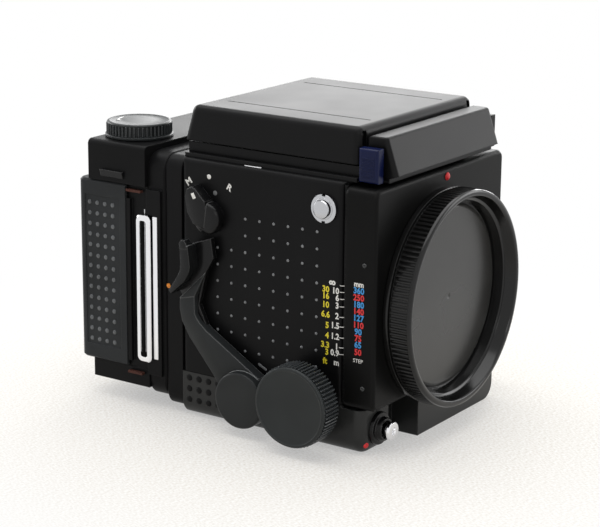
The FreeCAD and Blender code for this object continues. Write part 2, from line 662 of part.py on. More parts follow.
def nameplate_bar():
    """The bar above the lens: its face leans back, its ends take the button stems."""
    body = new_body("plate_bar")
    lip = f"(front_face - plate_bar_out)"
    add(body, "bar_block", "x", ("-plate_bar_half", "plate_bar_half"), [
        (lip, "plate_bar_lip"), (f"{lip} + plate_bar_lean", "plate_bar_top"),
        (behind("plate_bar_back"), "plate_bar_top"), (behind("plate_bar_back"), TOP_FACE),
        (behind("0.8"), TOP_FACE)])
    ends, foot = num("plate_bar_half"), num("plate_bar_lip")
    soften(body, "bar_ends", "1.8",
           lambda edge, middle: abs(abs(middle.x) - ends) < 0.01 and middle.y < num("front_face + 1")
           and middle.z > foot + 3)
    crest = num("plate_bar_top")
    soften(body, "bar_crest", "1.2",
           lambda edge, middle: straight_along(edge, "x") and middle.z > crest - 0.01)
    at = (behind("button_front + button_deep / 2"), "button_top - 6.5")
    for side, word in ((1, "left"), (-1, "right")):
        span = mirrored(side, "plate_bar_half - 12", "plate_bar_half + 1")
        bore(body, f"bar_{word}_bore", "x", at, "button_stem + run_fit", span)
    keep("nameplate_bar", body)


def finder_buttons():
    """The buttons at the ends of the nameplate bar that free the finder."""
    at = (behind("button_front + button_deep / 2"), "button_top - 6.5")
    for side, word in ((-1, "right"), (1, "left")):
        body = new_body(f"{word}_button_cap")
        inner = "(plate_bar_half + button_travel + 0.2)"
        outer = f"({inner} + button_thick)"
        add(body, f"{word}_button_block", "x", mirrored(side, inner, outer),
            rectangle((behind("button_front"), behind("button_front + button_deep")),
                      ("body_tall + 0.4", "button_top")))
        skin = side * num(outer)
        soften(body, f"{word}_button_edges", "1.0",
               lambda edge, middle: abs(middle.x - skin) < 0.01)
        stem = bar(f"{word}_button_stem", "x", at, "button_stem",
                   mirrored(side, "plate_bar_half - 10", f"{inner} + 0.5"))
        keep(f"{word}_finder_button", fuse(f"{word}_button_whole", body, stem))


# Waist-level finder

def finder_base():
    """The frame that carries the hood, with two ears for the lid's hinge."""
    body = new_body("finder_ring")
    front, back = behind("finder_front"), behind("finder_front + finder_deep")
    add(body, "finder_block", "z", (TOP_FACE, FINDER_TOP),
        rectangle(("-finder_half", "finder_half"), (front, back)))
    remove(body, "finder_room", "z", (TOP_FACE, FINDER_TOP),
           rectangle(("-finder_half + finder_wall", "finder_half - finder_wall"),
                     (f"{front} + finder_wall", f"{back} - finder_wall")))
    pieces = [body]
    for side, word in ((-1, "right"), (1, "left")):
        x = mirrored(side, "ear_inner", "ear_inner + ear_thick")
        pieces.append(block(f"{word}_ear", x, (behind("lid_axis_back - 1.8"), behind("lid_axis_back + 1.8")),
                            (TOP_FACE, LID_AXIS)))
        pieces.append(bar(f"{word}_ear_top", "x", (behind("lid_axis_back"), LID_AXIS), "1.8", x))
        foot = mirrored(side, "ear_inner", "finder_half - 0.5")
        pieces.append(block(f"{word}_ear_foot", foot,
                            (f"{front} + 0.5", behind("lid_axis_back + 1.8")), (TOP_FACE, FINDER_TOP)))
    pins = bar("ear_bores", "x", (behind("lid_axis_back"), LID_AXIS), "lid_pin + run_fit",
               ("-finder_half", "finder_half"))
    keep("finder_base", cut("finder_cut", fuse("finder_whole", *pieces), pins))


def lid_form(body, name, inset, low, high, kind):
    """The lid's tapered form between two heights, drawn in by a wall."""
    thing = body.newObject(f"PartDesign::{kind}Wedge", name)
    plane = [o for o in body.Origin.OriginFeatures if o.Role == PLANES["y"]][0]
    thing.AttachmentSupport = (plane, [""])
    thing.MapMode = "FlatFace"
    tie(thing, "Ymin", low)
    tie(thing, "Ymax", high)
    for mark, level in (("", low), ("2", high)):
        share = f"(({level} - lid_rim) / (lid_top - lid_rim))"
        half = f"(lid_half - lid_draft * {share} - {inset})"
        front = f"({behind('finder_front')} + 0.6 * {share} + {inset})"
        back = f"({behind('lid_back')} - lid_back_lean * {share} - {inset})"
        for cell, place in (("Xmin", f"-{half}"), ("Xmax", half), ("Zmin", f"-{back}"), ("Zmax", f"-{front}")):
            tie(thing, f"{cell[0]}{mark}{cell[1:]}", place)
    return thing


def hood_lid():
    """The lid: a tapered tray with rounded edges, notched for the hinge ears."""
    body = new_body("lid_tray")
    lid_form(body, "lid_block", "0", "lid_rim", "lid_top", "Additive")
    rim = num("lid_rim")
    soften(body, "lid_edges", "lid_round", lambda edge, middle: middle.z > rim + 1)
    lid_form(body, "lid_room", "lid_wall", "lid_rim", "(lid_top - lid_wall)", "Subtractive")
    reach = "(ear_inner + ear_thick + 1.8)"
    hinge = (behind("lid_axis_back"), LID_AXIS)
    tools = []
    for side, word in ((-1, "right"), (1, "left")):
        tools.append(bar(f"{word}_lid_pin_seat", "x", hinge, "lid_pin", mirrored(side, "ear_inner", reach)))
        x = mirrored(side, "ear_inner - slide_fit", "ear_inner + ear_thick + slide_fit")
        tools.append(block(f"{word}_lid_notch", x, (behind("finder_front - 1"), behind("lid_axis_back")),
                           ("lid_rim - 1", f"{LID_AXIS} + 2.1")))
        x = mirrored(side, "groove_side - groove_wide / 2", "groove_side + groove_wide / 2")
        tools.append(block(f"{word}_lid_groove", x, (behind("groove_front"), behind("groove_front + groove_long")),
                           ("lid_top - groove_deep", "lid_top + 1")))
    tray = cut("lid_notched", body, *tools)
    lugs = []
    for side, word in ((-1, "right"), (1, "left")):
        x = mirrored(side, "magnifier_half + 1.8", "magnifier_half + 3.8")
        lugs.append(block(f"{word}_lid_lug", x, (behind("magnifier_axis - 1.8"), behind("magnifier_axis + 1.8")),
                          (f"{LID_AXIS} - 2.8", "lid_top - lid_wall + 0.3")))
    rod = bar("lid_lug_bores", "x", (behind("magnifier_axis"), f"{LID_AXIS} - 1"), "0.8 + run_fit",
              ("-magnifier_half - 5", "magnifier_half + 5"))
    keep("hood_lid", cut("lid_bored", fuse("lid_whole", tray, *lugs), rod))
    pins = [bar(f"{word}_lid_pin", "x", hinge, "lid_pin", mirrored(side, "ear_inner - 0.3", reach))
            for side, word in ((-1, "right"), (1, "left"))]
    keep("lid_hinge_pins", pair("lid_pins", *pins))


def side_panel(word, side):
    """A folding side panel with its hinge rod, lying flat under the lid."""
    level = f"({TOP_FACE} + panel_rod + 0.5)"
    axis, tip = "side_panel_axis", "(side_panel_axis - side_panel_tall)"
    front, back = behind("side_panel_front"), behind("side_panel_back")
    body = new_body(f"{word}_panel")
    places = [(axis, front), (tip, front), (tip, f"{back} - side_panel_tall"), (axis, back)]
    if side < 0:
        places = [(f"-{x}", y) for x, y in reversed(places)]
    add(body, f"{word}_panel_sheet", "z", (f"{level} - panel_thick / 2", f"{level} + panel_thick / 2"), places)
    rod = bar(f"{word}_panel_rod", "y", (f"{side} * {axis}", level), "panel_rod",
              (behind("finder_front + finder_wall + 3.5"), back))
    keep(f"hood_{word}_panel", fuse(f"{word}_panel_whole", body, rod))


def hood_panels():
    """The two side panels and the rear panel of the hood."""
    side_panel("right", -1)
    side_panel("left", 1)
    level = f"({TOP_FACE} + panel_rod + 2.9)"
    sheet_part = block("rear_panel_sheet", ("-rear_panel_half", "rear_panel_half"),
                       (behind("rear_panel_axis - rear_panel_tall"), behind("rear_panel_axis")),
                       (f"{level} - panel_thick / 2", f"{level} + panel_thick / 2"))
    rod = bar("rear_panel_rod", "x", (behind("rear_panel_axis"), level), "panel_rod",
              ("-finder_half + finder_wall + slide_fit", "finder_half - finder_wall - slide_fit"))
    keep("hood_rear_panel", fuse("rear_panel_whole", sheet_part, rod))


def magnifier():
    """The flip-out magnifier under the lid."""
    level = f"({LID_AXIS} - 1)"
    front = behind("magnifier_axis")
    middle = behind("magnifier_axis + magnifier_long / 2 + 1")
    plate = block("magnifier_plate", ("-magnifier_half", "magnifier_half"), (front, f"{front} + magnifier_long"),
                  (f"{level} - 0.8", f"{level} + 0.8"))
    rod = bar("magnifier_rod", "x", (front, level), "0.8", ("-magnifier_half - 3.6", "magnifier_half + 3.6"))
    hole = bar("magnifier_hole", "z", ("0", middle), "magnifier_radius + run_fit", (f"{level} - 2", f"{level} + 2"))
    keep("magnifier_frame", cut("magnifier_cut", fuse("magnifier_whole", plate, rod), hole))
    keep("magnifier_lens", turned("magnifier_glass", "z", ("0", middle), [
        (f"{level} - 1.5", "0"), (f"{level} - 1.5", "magnifier_radius / 2"), (f"{level} - 0.6", "magnifier_radius"),
        (f"{level} + 0.6", "magnifier_radius"), (f"{level} + 1.5", "magnifier_radius / 2"),
        (f"{level} + 1.5", "0")]))


# Mirror

def mirror():
    """The reflex mirror on its holder and shaft, hinged at the rear of the chamber."""
    axis = (behind("mirror_axis_back"), "mirror_axis_tall")
    hub = bar("mirror_hub", "x", ("0", "0"), "mirror_shaft_radius + 1.2", ("-mirror_half", "mirror_half"))
    arm = block("mirror_arm", ("-mirror_half", "mirror_half"), ("-mirror_long", "0"), ("-0.9", "0.9"))
    hole = bar("mirror_hub_hole", "x", ("0", "0"), "mirror_shaft_radius", ("-mirror_half - 1", "mirror_half + 1"))
    holder = cut("mirror_holder_cut", fuse("mirror_holder_whole", hub, arm), hole)
    glass = block("mirror_plate", ("-mirror_half + 0.5", "mirror_half - 0.5"),
                  ("-mirror_long + 0.5", "-mirror_shaft_radius - 2"), ("0.9", "2.7"))
    for name, thing in (("mirror_holder", holder), ("mirror_glass", pair("mirror_plate_seat", glass))):
        thing.Placement = FreeCAD.Placement(V(), FreeCAD.Rotation(V(1, 0, 0), num("mirror_angle")))
        tie(thing, "Placement.Base.y", axis[0])
        tie(thing, "Placement.Base.z", axis[1])
        tie(thing, "Placement.Rotation.Angle", "mirror_angle")
        keep(name, thing)
    keep("mirror_shaft", bar("mirror_rod", "x", axis, "mirror_shaft_radius",
                             ("-chamber_half - 2.8", "chamber_half + 2.8")))


# Front standard

def front_standard():
    """The sliding front: a tray round the bellows with the lens throat in its plate."""
    body = new_body("standard_tray")
    front, back = "front_face", behind("standard_deep")
    half = "(standard_wide / 2)"
    add(body, "standard_block", "y", (front, back),
        rectangle((f"-{half}", half), ("standard_foot", "standard_top")))
    soften(body, "standard_corners", "standard_round", lambda edge, middle: straight_along(edge, "y"))
    face = num(front)
    bevel(body, "standard_rim", "1.1", lambda edge, middle: abs(middle.y - face) < 0.01)
    remove(body, "standard_room", "y", (f"{front} + standard_plate", back),
           rectangle((f"-{half} + standard_wall", f"{half} - standard_wall"),
                     ("standard_foot + standard_wall", "standard_top - standard_wall")))
    bore(body, "throat", "y", ("0", "lens_axis_tall"), "throat_radius", (front, f"{front} + standard_plate"))
    keep("front_standard", body)
    keep("lens_mount_ring", turned("mount_ring", "y", ("0", "lens_axis_tall"), [
        (f"{front} - mount_ring_proud", "mount_bore_radius"), (f"{front} - mount_ring_proud", "mount_ring_radius"),
        (front, "mount_ring_radius"), (front, "throat_radius - run_fit"),
        (f"{front} + mount_spigot_deep", "throat_radius - run_fit"),
        (f"{front} + mount_spigot_deep", "mount_bore_radius")]))


def rack_solid(side):
    """One toothed rack: the teeth point down at the pinion and start in mesh with it."""
    pitch = 2 * math.pi * num("pitch_radius") / round(num("pinion_teeth"))
    level = num("focus_tall + pitch_radius")
    shaft = num(behind("focus_back"))
    tip, root = level - 0.27 * pitch, level + 0.35 * pitch
    first = shaft - 1.5 * pitch
    start, end = num("front_face + standard_plate"), num(behind("rack_back"))
    places = [(start, root + num("rack_tall")), (start, root)]
    for index in range(int(round(num("rack_tooth_count")))):
        middle = first + index * pitch
        for offset, height in ((-0.33, root), (-0.11, tip), (0.11, tip), (0.33, root)):
            places.append((middle + offset * pitch, height))
    places += [(end, root), (end, root + num("rack_tall"))]
    low = num(mirrored(side, "rack_near", "rack_near + rack_thick")[0])
    points = [V(low, y, z) for y, z in places]
    return Part.Face(Part.makePolygon(points + points[:1])).extrude(V(num("rack_thick"), 0, 0))


def pinion_solid(side):
    """One pinion, its teeth straight-sided, with a tooth upright at rest."""
    teeth = int(round(num("pinion_teeth")))
    radius = num("pitch_radius")
    pitch = 2 * math.pi * radius / teeth
    tip, root = radius + 0.27 * pitch, radius - 0.34 * pitch
    points = []
    for index in range(teeth):
        middle = math.pi / 2 + index * 2 * math.pi / teeth
        for half, reach in ((-0.29, root), (-0.2, radius), (-0.09, tip), (0.09, tip), (0.2, radius), (0.29, root)):
            angle = middle + half * pitch / reach
            points.append(V(0, reach * math.cos(angle), reach * math.sin(angle)))
    hole = Part.Wire(Part.makeCircle(num("focus_shaft_radius"), V(), V(1, 0, 0)))
    face = Part.Face([Part.makePolygon(points + points[:1]), hole], "Part::FaceMakerBullseye")
    solid = face.extrude(V(num("rack_thick"), 0, 0))
    low = num(mirrored(side, "rack_near", "rack_near + rack_thick")[0])
    solid.translate(V(low, num(behind("focus_back")), num("focus_tall")))
    return solid


def focusing_drive():
    """Racks on the standard, and the shaft, pinions and knobs that drive them."""
    for name, maker in (("focus_racks", rack_solid), ("focus_pinions", pinion_solid)):
        thing = doc.addObject("Part::Feature", name + "_pair")
        thing.Shape = Part.Compound([maker(-1), maker(1)])
        keep(name, thing)
    at = (behind("focus_back"), "focus_tall")
    keep("focus_shaft", bar("focus_rod", "x", at, "focus_shaft_radius", ("-knob_face + 5", "knob_face - 5")))
    for side, word in ((-1, "right"), (1, "left")):
        sign = "-" if side < 0 else ""
        core = "(knob_radius - rib_deep - 0.1)"
        knob = turned(f"{word}_knob_core", "x", at, [
            (f"{sign}(knob_face - 4.7)", "0"), (f"{sign}(knob_face - 4.7)", "focus_shaft_radius"),
            (f"{sign}(knob_face - knob_deep)", "focus_shaft_radius"),
            (f"{sign}(knob_face - knob_deep)", "knob_radius - 3"),
            (f"{sign}(knob_face - knob_deep + 0.6)", core), (f"{sign}(knob_face - 1)", core),
            (f"{sign}(knob_face - 0.4)", "knob_radius - 1.2"), (f"{sign}(knob_face)", "knob_radius - 1.6"),
            (f"{sign}(knob_face)", "0")])
        grip = ribbed(f"{word}_knob_grip", "x", at, "knob_radius", "knob_radius - 2.5", "knob_rib_count",
                      mirrored(side, "knob_face - knob_deep + 0.6", "knob_face - 1.2"))
        keep(f"{word}_focus_knob", fuse(f"{word}_knob_whole", knob, grip))


def bellows():
    """The bellows between the standard and the body, closed up at rest."""
    start, end = num("front_face + standard_plate + 0.2"), num(f"{BODY_FRONT} - 0.1")
    folds = 6
    solids = []
    for wall in (0.0, 0.8):
        wires = []
        for index in range(2 * folds + 1):
            inset = wall + (0.0 if index % 2 else 3.2)
            y = start + (end - start) * index / (2 * folds)
            half = num("rack_near - 2.2") - inset
            low, high = num("standard_foot + standard_wall + 0.6") + inset, num("standard_top - standard_wall - 0.6") - inset
            corners = [V(-half, y, low), V(half, y, low), V(half, y, high), V(-half, y, high)]
            wires.append(Part.makePolygon(corners + corners[:1]))
        solids.append(Part.makeLoft(wires, True, True))
    thing = doc.addObject("Part::Feature", "bellows_cloth")
    thing.Shape = solids[0].cut(solids[1])
    keep("bellows", thing)


def body_cap():
    """The dished cap over the lens mount, with grip ribs round its rim."""
    at = ("0", "lens_axis_tall")
    face = "front_face"
    front = f"({face} - cap_deep)"
    core = "(cap_radius - rib_deep - 0.1)"
    disc = f"({front} + cap_face_set)"
    seat = f"({face} - mount_ring_proud - 0.2)"
    cap = turned("cap_core", "y", at, [
        (disc, "0"), (disc, "cap_radius - 7"), (f"{disc} - 0.9", "cap_radius - 6"),
        (f"{front} + 0.5", "cap_radius - 3.4"), (front, "cap_radius - 2.8"),
        (front, f"{core} - 0.6"), (f"{front} + 0.6", core),
        (f"{face} - 3.4", core), (f"{face} - 2.6", "cap_radius - 1.4"),
        (f"{face} - slide_fit", "cap_radius - 1.4"), (f"{face} - slide_fit", "mount_ring_radius + slide_fit"),
        (seat, "mount_ring_radius + slide_fit"), (seat, "mount_bore_radius - 0.1"),
        (f"{face} + 4", "mount_bore_radius - 0.1"), (f"{face} + 4", "mount_bore_radius - 2.1"),
        (seat, "mount_bore_radius - 2.1"), (seat, "0")])
    grip = ribbed("cap_grip", "y", at, "cap_radius", "cap_radius - 2", "cap_rib_count",
                  (f"{front} + 1.4", f"{face} - 3.6"))
    keep("body_cap", fuse("cap_whole", cap, grip))


# Controls

def ramp_solid(plane, corners, tip):
    """A pyramid that falls from the lower arm's end to the blade at its tip."""
    high, low = [num(f"-({BODY_HALF} + cocking_out + {depth})") for depth in plane]
    (first, second), base = corners, (num(behind("cocking_back")), num("cocking_tall"))
    places = [V(x, base[0] + y, base[1] + z) for x, (y, z) in
              ((high, first), (high, second), (low, second), (low, first), (low, tip))]
    sides = [(0, 1, 2, 3), (0, 1, 4), (1, 2, 4), (2, 3, 4), (3, 0, 4)]
    faces = [Part.Face(Part.makePolygon([places[i] for i in side + side[:1]])) for side in sides]
    return Part.Solid(Part.Shell(faces))


def cocking_lever():
    """The cocking lever: a disc, a thick lower arm, a ramp down to a blade, and a thumb flange."""
    pivot = (behind("cocking_back"), "cocking_tall")
    inner = f"({BODY_HALF} + cocking_out)"

    def from_pivot(places):
        return [(f"{pivot[0]} + {y}", f"{pivot[1]} + {z}") for y, z in places]

    arm = new_body("cocking_arm")
    step_front, step_rear, tip = (24.4, 34.6), (33.0, 37.7), (20.8, 51.2)
    add(arm, "arm_outline", "x", (f"-({inner} + cocking_thick)", f"-{inner}"), from_pivot([
        (-7.3, 10.9), (22.4, 30.0), step_front, step_rear, (24.5, 19.1), (12.0, 1.5), (2.0, -6.0)]))
    base = (num(pivot[0]), num(pivot[1]))
    outer = num(f"-({inner} + cocking_thick)")
    bevel(arm, "arm_bevel", "1.0",
          lambda edge, middle: abs(middle.x - outer) < 0.01 and middle.y < base[0] + 26
          and middle.z - base[1] > 0.9 * (middle.y - base[0]) + 5)
    blade = new_body("cocking_upper")
    add(blade, "blade_outline", "x", (f"-({inner} + cocking_blade)", f"-{inner}"), from_pivot([
        (20.0, 27.0), step_front, tip, (17.8, 59.0), (18.6, 66.2), (28.4, 62.6), (30.9, 51.7), (36.2, 41.2),
        step_rear, (27.0, 27.0)]))
    ramp = doc.addObject("Part::Feature", "cocking_ramp")
    ramp.Shape = ramp_solid(("cocking_thick", "cocking_blade"), (step_front, step_rear), tip)
    flange = new_body("cocking_thumb")
    add(flange, "flange_outline", "x", (f"-({inner} + cocking_flange)", f"-{inner}"), from_pivot([
        (26.9, 61.8), (25.6, 53.7), (27.6, 47.0), (33.0, 39.0), (36.2, 41.2), (32.4, 46.8), (30.9, 51.7),
        (29.0, 62.2)]))
    add(flange, "flange_crest", "x", (f"-({inner} + cocking_flange)", f"-({inner} + cocking_crest)"),
        from_pivot([(26.7, 60.8), (27.3, 64.6), (29.4, 65.3), (29.2, 60.8)]))
    disc = turned("cocking_cover", "x", pivot, [
        (f"-{inner}", "0"), (f"-{inner}", "cocking_disc"), (f"-({inner} + 7.9)", "cocking_disc"),
        (f"-({inner} + 8.6)", "cocking_disc - 0.7"), (f"-({inner} + 8.6)", "0")])
    hole = bar("cocking_bore", "x", pivot, "cocking_shaft_radius", (f"-({inner} + 6)", f"-({inner} - 1)"))
    keep("cocking_lever", cut("cocking_cut", fuse("cocking_whole", arm, blade, ramp, flange, disc), hole))
    keep("cocking_shaft", bar("cocking_rod", "x", pivot, "cocking_shaft_radius", (f"-({inner} + 6)", "-30")))


def mode_lever():
    """The small lever behind the panel, with its pointer."""
    pivot = (behind("mode_back"), "mode_tall")
    hub = bar("mode_hub_bar", "x", pivot, "mode_hub", (f"-({BODY_HALF} + 4.6)", f"-({BODY_HALF} + 0.2)"))
    arm = new_body("mode_arm")
    places = [(-5.8, 3.4), (5.2, 14.6), (9.4, 14.0), (10.4, 9.6), (6.8, -2.6)]
    add(arm, "mode_outline", "x", (f"-({BODY_HALF} + 5.8)", f"-({BODY_HALF} + 0.2)"),
        [(f"{pivot[0]} + {y}", f"{pivot[1]} + {z}") for y, z in places])
    soften(arm, "mode_bends", "1.2", lambda edge, middle: straight_along(edge, "x"))
    stub = bar("mode_stub", "x", pivot, "mode_hub / 3", (f"-({BODY_HALF} + 1)", f"-({CASTING_HALF} + 0.3)"))
    keep("mode_lever", fuse("mode_whole", hub, arm, stub))


def release():
    """The release button with its cable thread, and the collar round it."""
    at = ("release_side", "release_tall")
    face = behind("nose_front - 7.8")
    keep("shutter_button", turned("release_button", "y", at, [
        (f"{face} + 3", "0"), (f"{face} + 3", "1.2"), (f"{face} + 0.9", "1.2"), (f"{face} + 0.6", "1.9"),
        (face, "release_radius - 0.5"), (f"{face} + 0.5", "release_radius"),
        (f"{face} + 6.2", "release_radius"), (f"{face} + 6.2", "release_radius - 1.4"),
        (behind("nose_front + 6.8"), "release_radius - 1.4"), (behind("nose_front + 6.8"), "0")]))
    keep("release_collar", turned("collar", "y", at, [
        (behind("nose_front - 3.8"), "release_radius + run_fit"), (behind("nose_front - 3.8"), "collar_radius - 0.8"),
        (behind("nose_front - 3"), "collar_radius"), (behind("nose_front - 0.2"), "collar_radius"),
        (behind("nose_front - 0.2"), "release_radius + 1.2"), (behind("nose_front + 3.2"), "release_radius + 1.2"),
        (behind("nose_front + 3.2"), "release_radius + run_fit")]))


def strap_lugs():
    """A notched lug at each side for the strap."""
    lugs = []
    at = (behind("lug_back"), "lug_tall")
    for side, word in ((-1, "right"), (1, "left")):
        sign = "-" if side < 0 else ""
        lugs.append(turned(f"{word}_lug", "x", at, [
            (f"{sign}{BODY_HALF}", "0"), (f"{sign}{BODY_HALF}", "lug_radius"),
            (f"{sign}({BODY_HALF} + 1.3)", "lug_radius"), (f"{sign}({BODY_HALF} + 1.3)", "2.1"),
            (f"{sign}({BODY_HALF} + 2.7)", "2.1"), (f"{sign}({BODY_HALF} + 2.7)", "3.1"),
            (f"{sign}({BODY_HALF} + 3.6)", "2.8"), (f"{sign}({BODY_HALF} + 4.3)", "1.2"),
            (f"{sign}({BODY_HALF} + 4.3)", "0")]))
    keep("strap_lugs", pair("lug_pair", *lugs))


def left_controls():
    """Speed dial, focus lock, accessory shoe and flash socket."""
    dial = (behind("dial_back"), "dial_tall")
    disc = turned("dial_core", "x", dial, [
        (f"{CASTING_HALF} + 0.4", "0"), (f"{CASTING_HALF} + 0.4", "dial_radius / 4"),
        (f"{BODY_HALF} + 0.2", "dial_radius / 4"), (f"{BODY_HALF} + 0.2", "dial_radius - 0.8"),
        (f"{BODY_HALF} + 6.2", "dial_radius - 0.8"), (f"{BODY_HALF} + 7", "dial_radius - 1.8"),
        (f"{BODY_HALF} + 7", "0")])
    grip = ribbed("dial_grip", "x", dial, "dial_radius", "dial_radius - 2", "dial_rib_count",
                  (f"{BODY_HALF} + 2.4", f"{BODY_HALF} + 6"))
    keep("speed_dial", fuse("dial_whole", disc, grip))
    lock = (behind("lock_back"), "lock_tall")
    hub = bar("lock_hub", "x", lock, "5.5", (f"{BODY_HALF} + 0.2", f"{BODY_HALF} + 4"))
    stub = bar("lock_stub", "x", lock, "2.5", ("rack_near + rack_thick + slide_fit", f"{BODY_HALF} + 1"))
    arm = block("lock_arm", (f"{BODY_HALF} + 0.2", f"{BODY_HALF} + 4.6"), (lock[0], f"{lock[0]} + 16"),
                (f"{lock[1]} - 3", f"{lock[1]} + 3"))
    keep("focus_lock_lever", fuse("lock_whole", hub, stub, arm))
    shoe = new_body("shoe_channel")
    skin, middle = BODY_HALF, behind("shoe_back")
    floor, roof = f"({skin} + 1.3)", f"({skin} + 1.3 + shoe_gap)"
    wide, slot, mouth = "(shoe_slot / 2 + 1.4)", "(shoe_slot / 2)", "(shoe_slot / 2 - 3)"
    add(shoe, "shoe_profile", "z", ("shoe_foot", "shoe_foot + shoe_long"), [
        (skin, f"{middle} - {wide}"), (f"{roof} + 1.2", f"{middle} - {wide}"),
        (f"{roof} + 1.2", f"{middle} - {mouth}"), (roof, f"{middle} - {mouth}"),
        (roof, f"{middle} - {slot}"), (floor, f"{middle} - {slot}"),
        (floor, f"{middle} + {slot}"), (roof, f"{middle} + {slot}"),
        (roof, f"{middle} + {mouth}"), (f"{roof} + 1.2", f"{middle} + {mouth}"),
        (f"{roof} + 1.2", f"{middle} + {wide}"), (skin, f"{middle} + {wide}")])
    keep("accessory_shoe", shoe)
    keep("sync_socket", turned("sync_ring", "x", (behind("sync_back"), "sync_tall"), [
        (BODY_HALF, "0"), (BODY_HALF, "5"), (f"{BODY_HALF} + 1.2", "4.6"), (f"{BODY_HALF} + 1.2", "2.9"),
        (f"{BODY_HALF} + 3.4", "2.9"), (f"{BODY_HALF} + 3.4", "2.1"), (f"{BODY_HALF} + 0.8", "2.1"),
        (f"{BODY_HALF} + 0.8", "0")]))


# Rear frame and revolving adapter

def rear_frame():
    """The frame behind the body, with the picture window and the adapter's bearing."""
    body = new_body("rear_ring")
    add(body, "rear_block", "y", (BODY_BACK, FRAME_BACK),
        rectangle((f"-{BODY_HALF}", BODY_HALF), ("rear_frame_foot", "body_tall - 0.4")))
    soften(body, "rear_corners", "6", lambda edge, middle: straight_along(edge, "y"))
    back = num(FRAME_BACK)
    bevel(body, "rear_rim", "0.9", lambda edge, middle: abs(middle.y - back) < 0.01)
    centre = ("0", "lens_axis_tall")
    remove(body, "rear_window", "y", (BODY_BACK, FRAME_BACK),
           rectangle(("-gate_wide / 2 - 1", "gate_wide / 2 + 1"),
                     ("lens_axis_tall - gate_tall / 2 - 1", "lens_axis_tall + gate_tall / 2 + 1")))
    bore(body, "rear_bearing", "y", centre, "turn_radius + run_fit",
         (f"{FRAME_BACK} - turn_deep - 0.1", FRAME_BACK))
    keep("rear_frame", body)


def revolving_adapter():
    """The adapter that lets the film back turn between upright and sideways pictures."""
    body = new_body("adapter_plate")
    centre = ("0", "lens_axis_tall")
    add(body, "adapter_block", "y", (ADAPTER_FRONT, ADAPTER_BACK),
        rectangle(("-adapter_half", "adapter_half"),
                  ("lens_axis_tall - adapter_half_tall", "lens_axis_tall + adapter_half_tall")))
    soften(body, "adapter_corners", "adapter_round", lambda edge, middle: straight_along(edge, "y"))
    front = num(ADAPTER_FRONT)
    bevel(body, "adapter_rim", "0.9", lambda edge, middle: abs(middle.y - front) < 0.01)
    pad(body, ring(body, "adapter_ring", "y", f"{FRAME_BACK} - turn_deep", centre, "turn_radius"),
        "y", (f"{FRAME_BACK} - turn_deep", f"{ADAPTER_FRONT} + 1"))
    bore(body, "adapter_hole", "y", centre, "turn_bore", (f"{FRAME_BACK} - turn_deep", ADAPTER_BACK))
    rail, strip = "(adapter_half + rail_proud)", (f"{ADAPTER_BACK} - 3.5", f"{ADAPTER_BACK} - 1.7")
    guard = block("adapter_rail", (f"-{rail}", "-adapter_half + 1"), (f"{ADAPTER_BACK} - rail_deep", ADAPTER_BACK),
                  ("rail_foot", "rail_top"))
    groove = block("adapter_groove", (f"-{rail} - 1", "-adapter_half"),
                   (f"{strip[0]} - 0.1", ADAPTER_BACK), ("handle_foot - 0.1", "handle_foot + handle_tall + 0.1"))
    keep("revolving_adapter", cut("adapter_cut", fuse("adapter_whole", body, guard), groove))
    keep("adapter_strip", block("strip_bar", ("-adapter_half - 1.2", "-adapter_half"), strip,
                                ("handle_foot", "handle_foot + handle_tall")))


# Film back

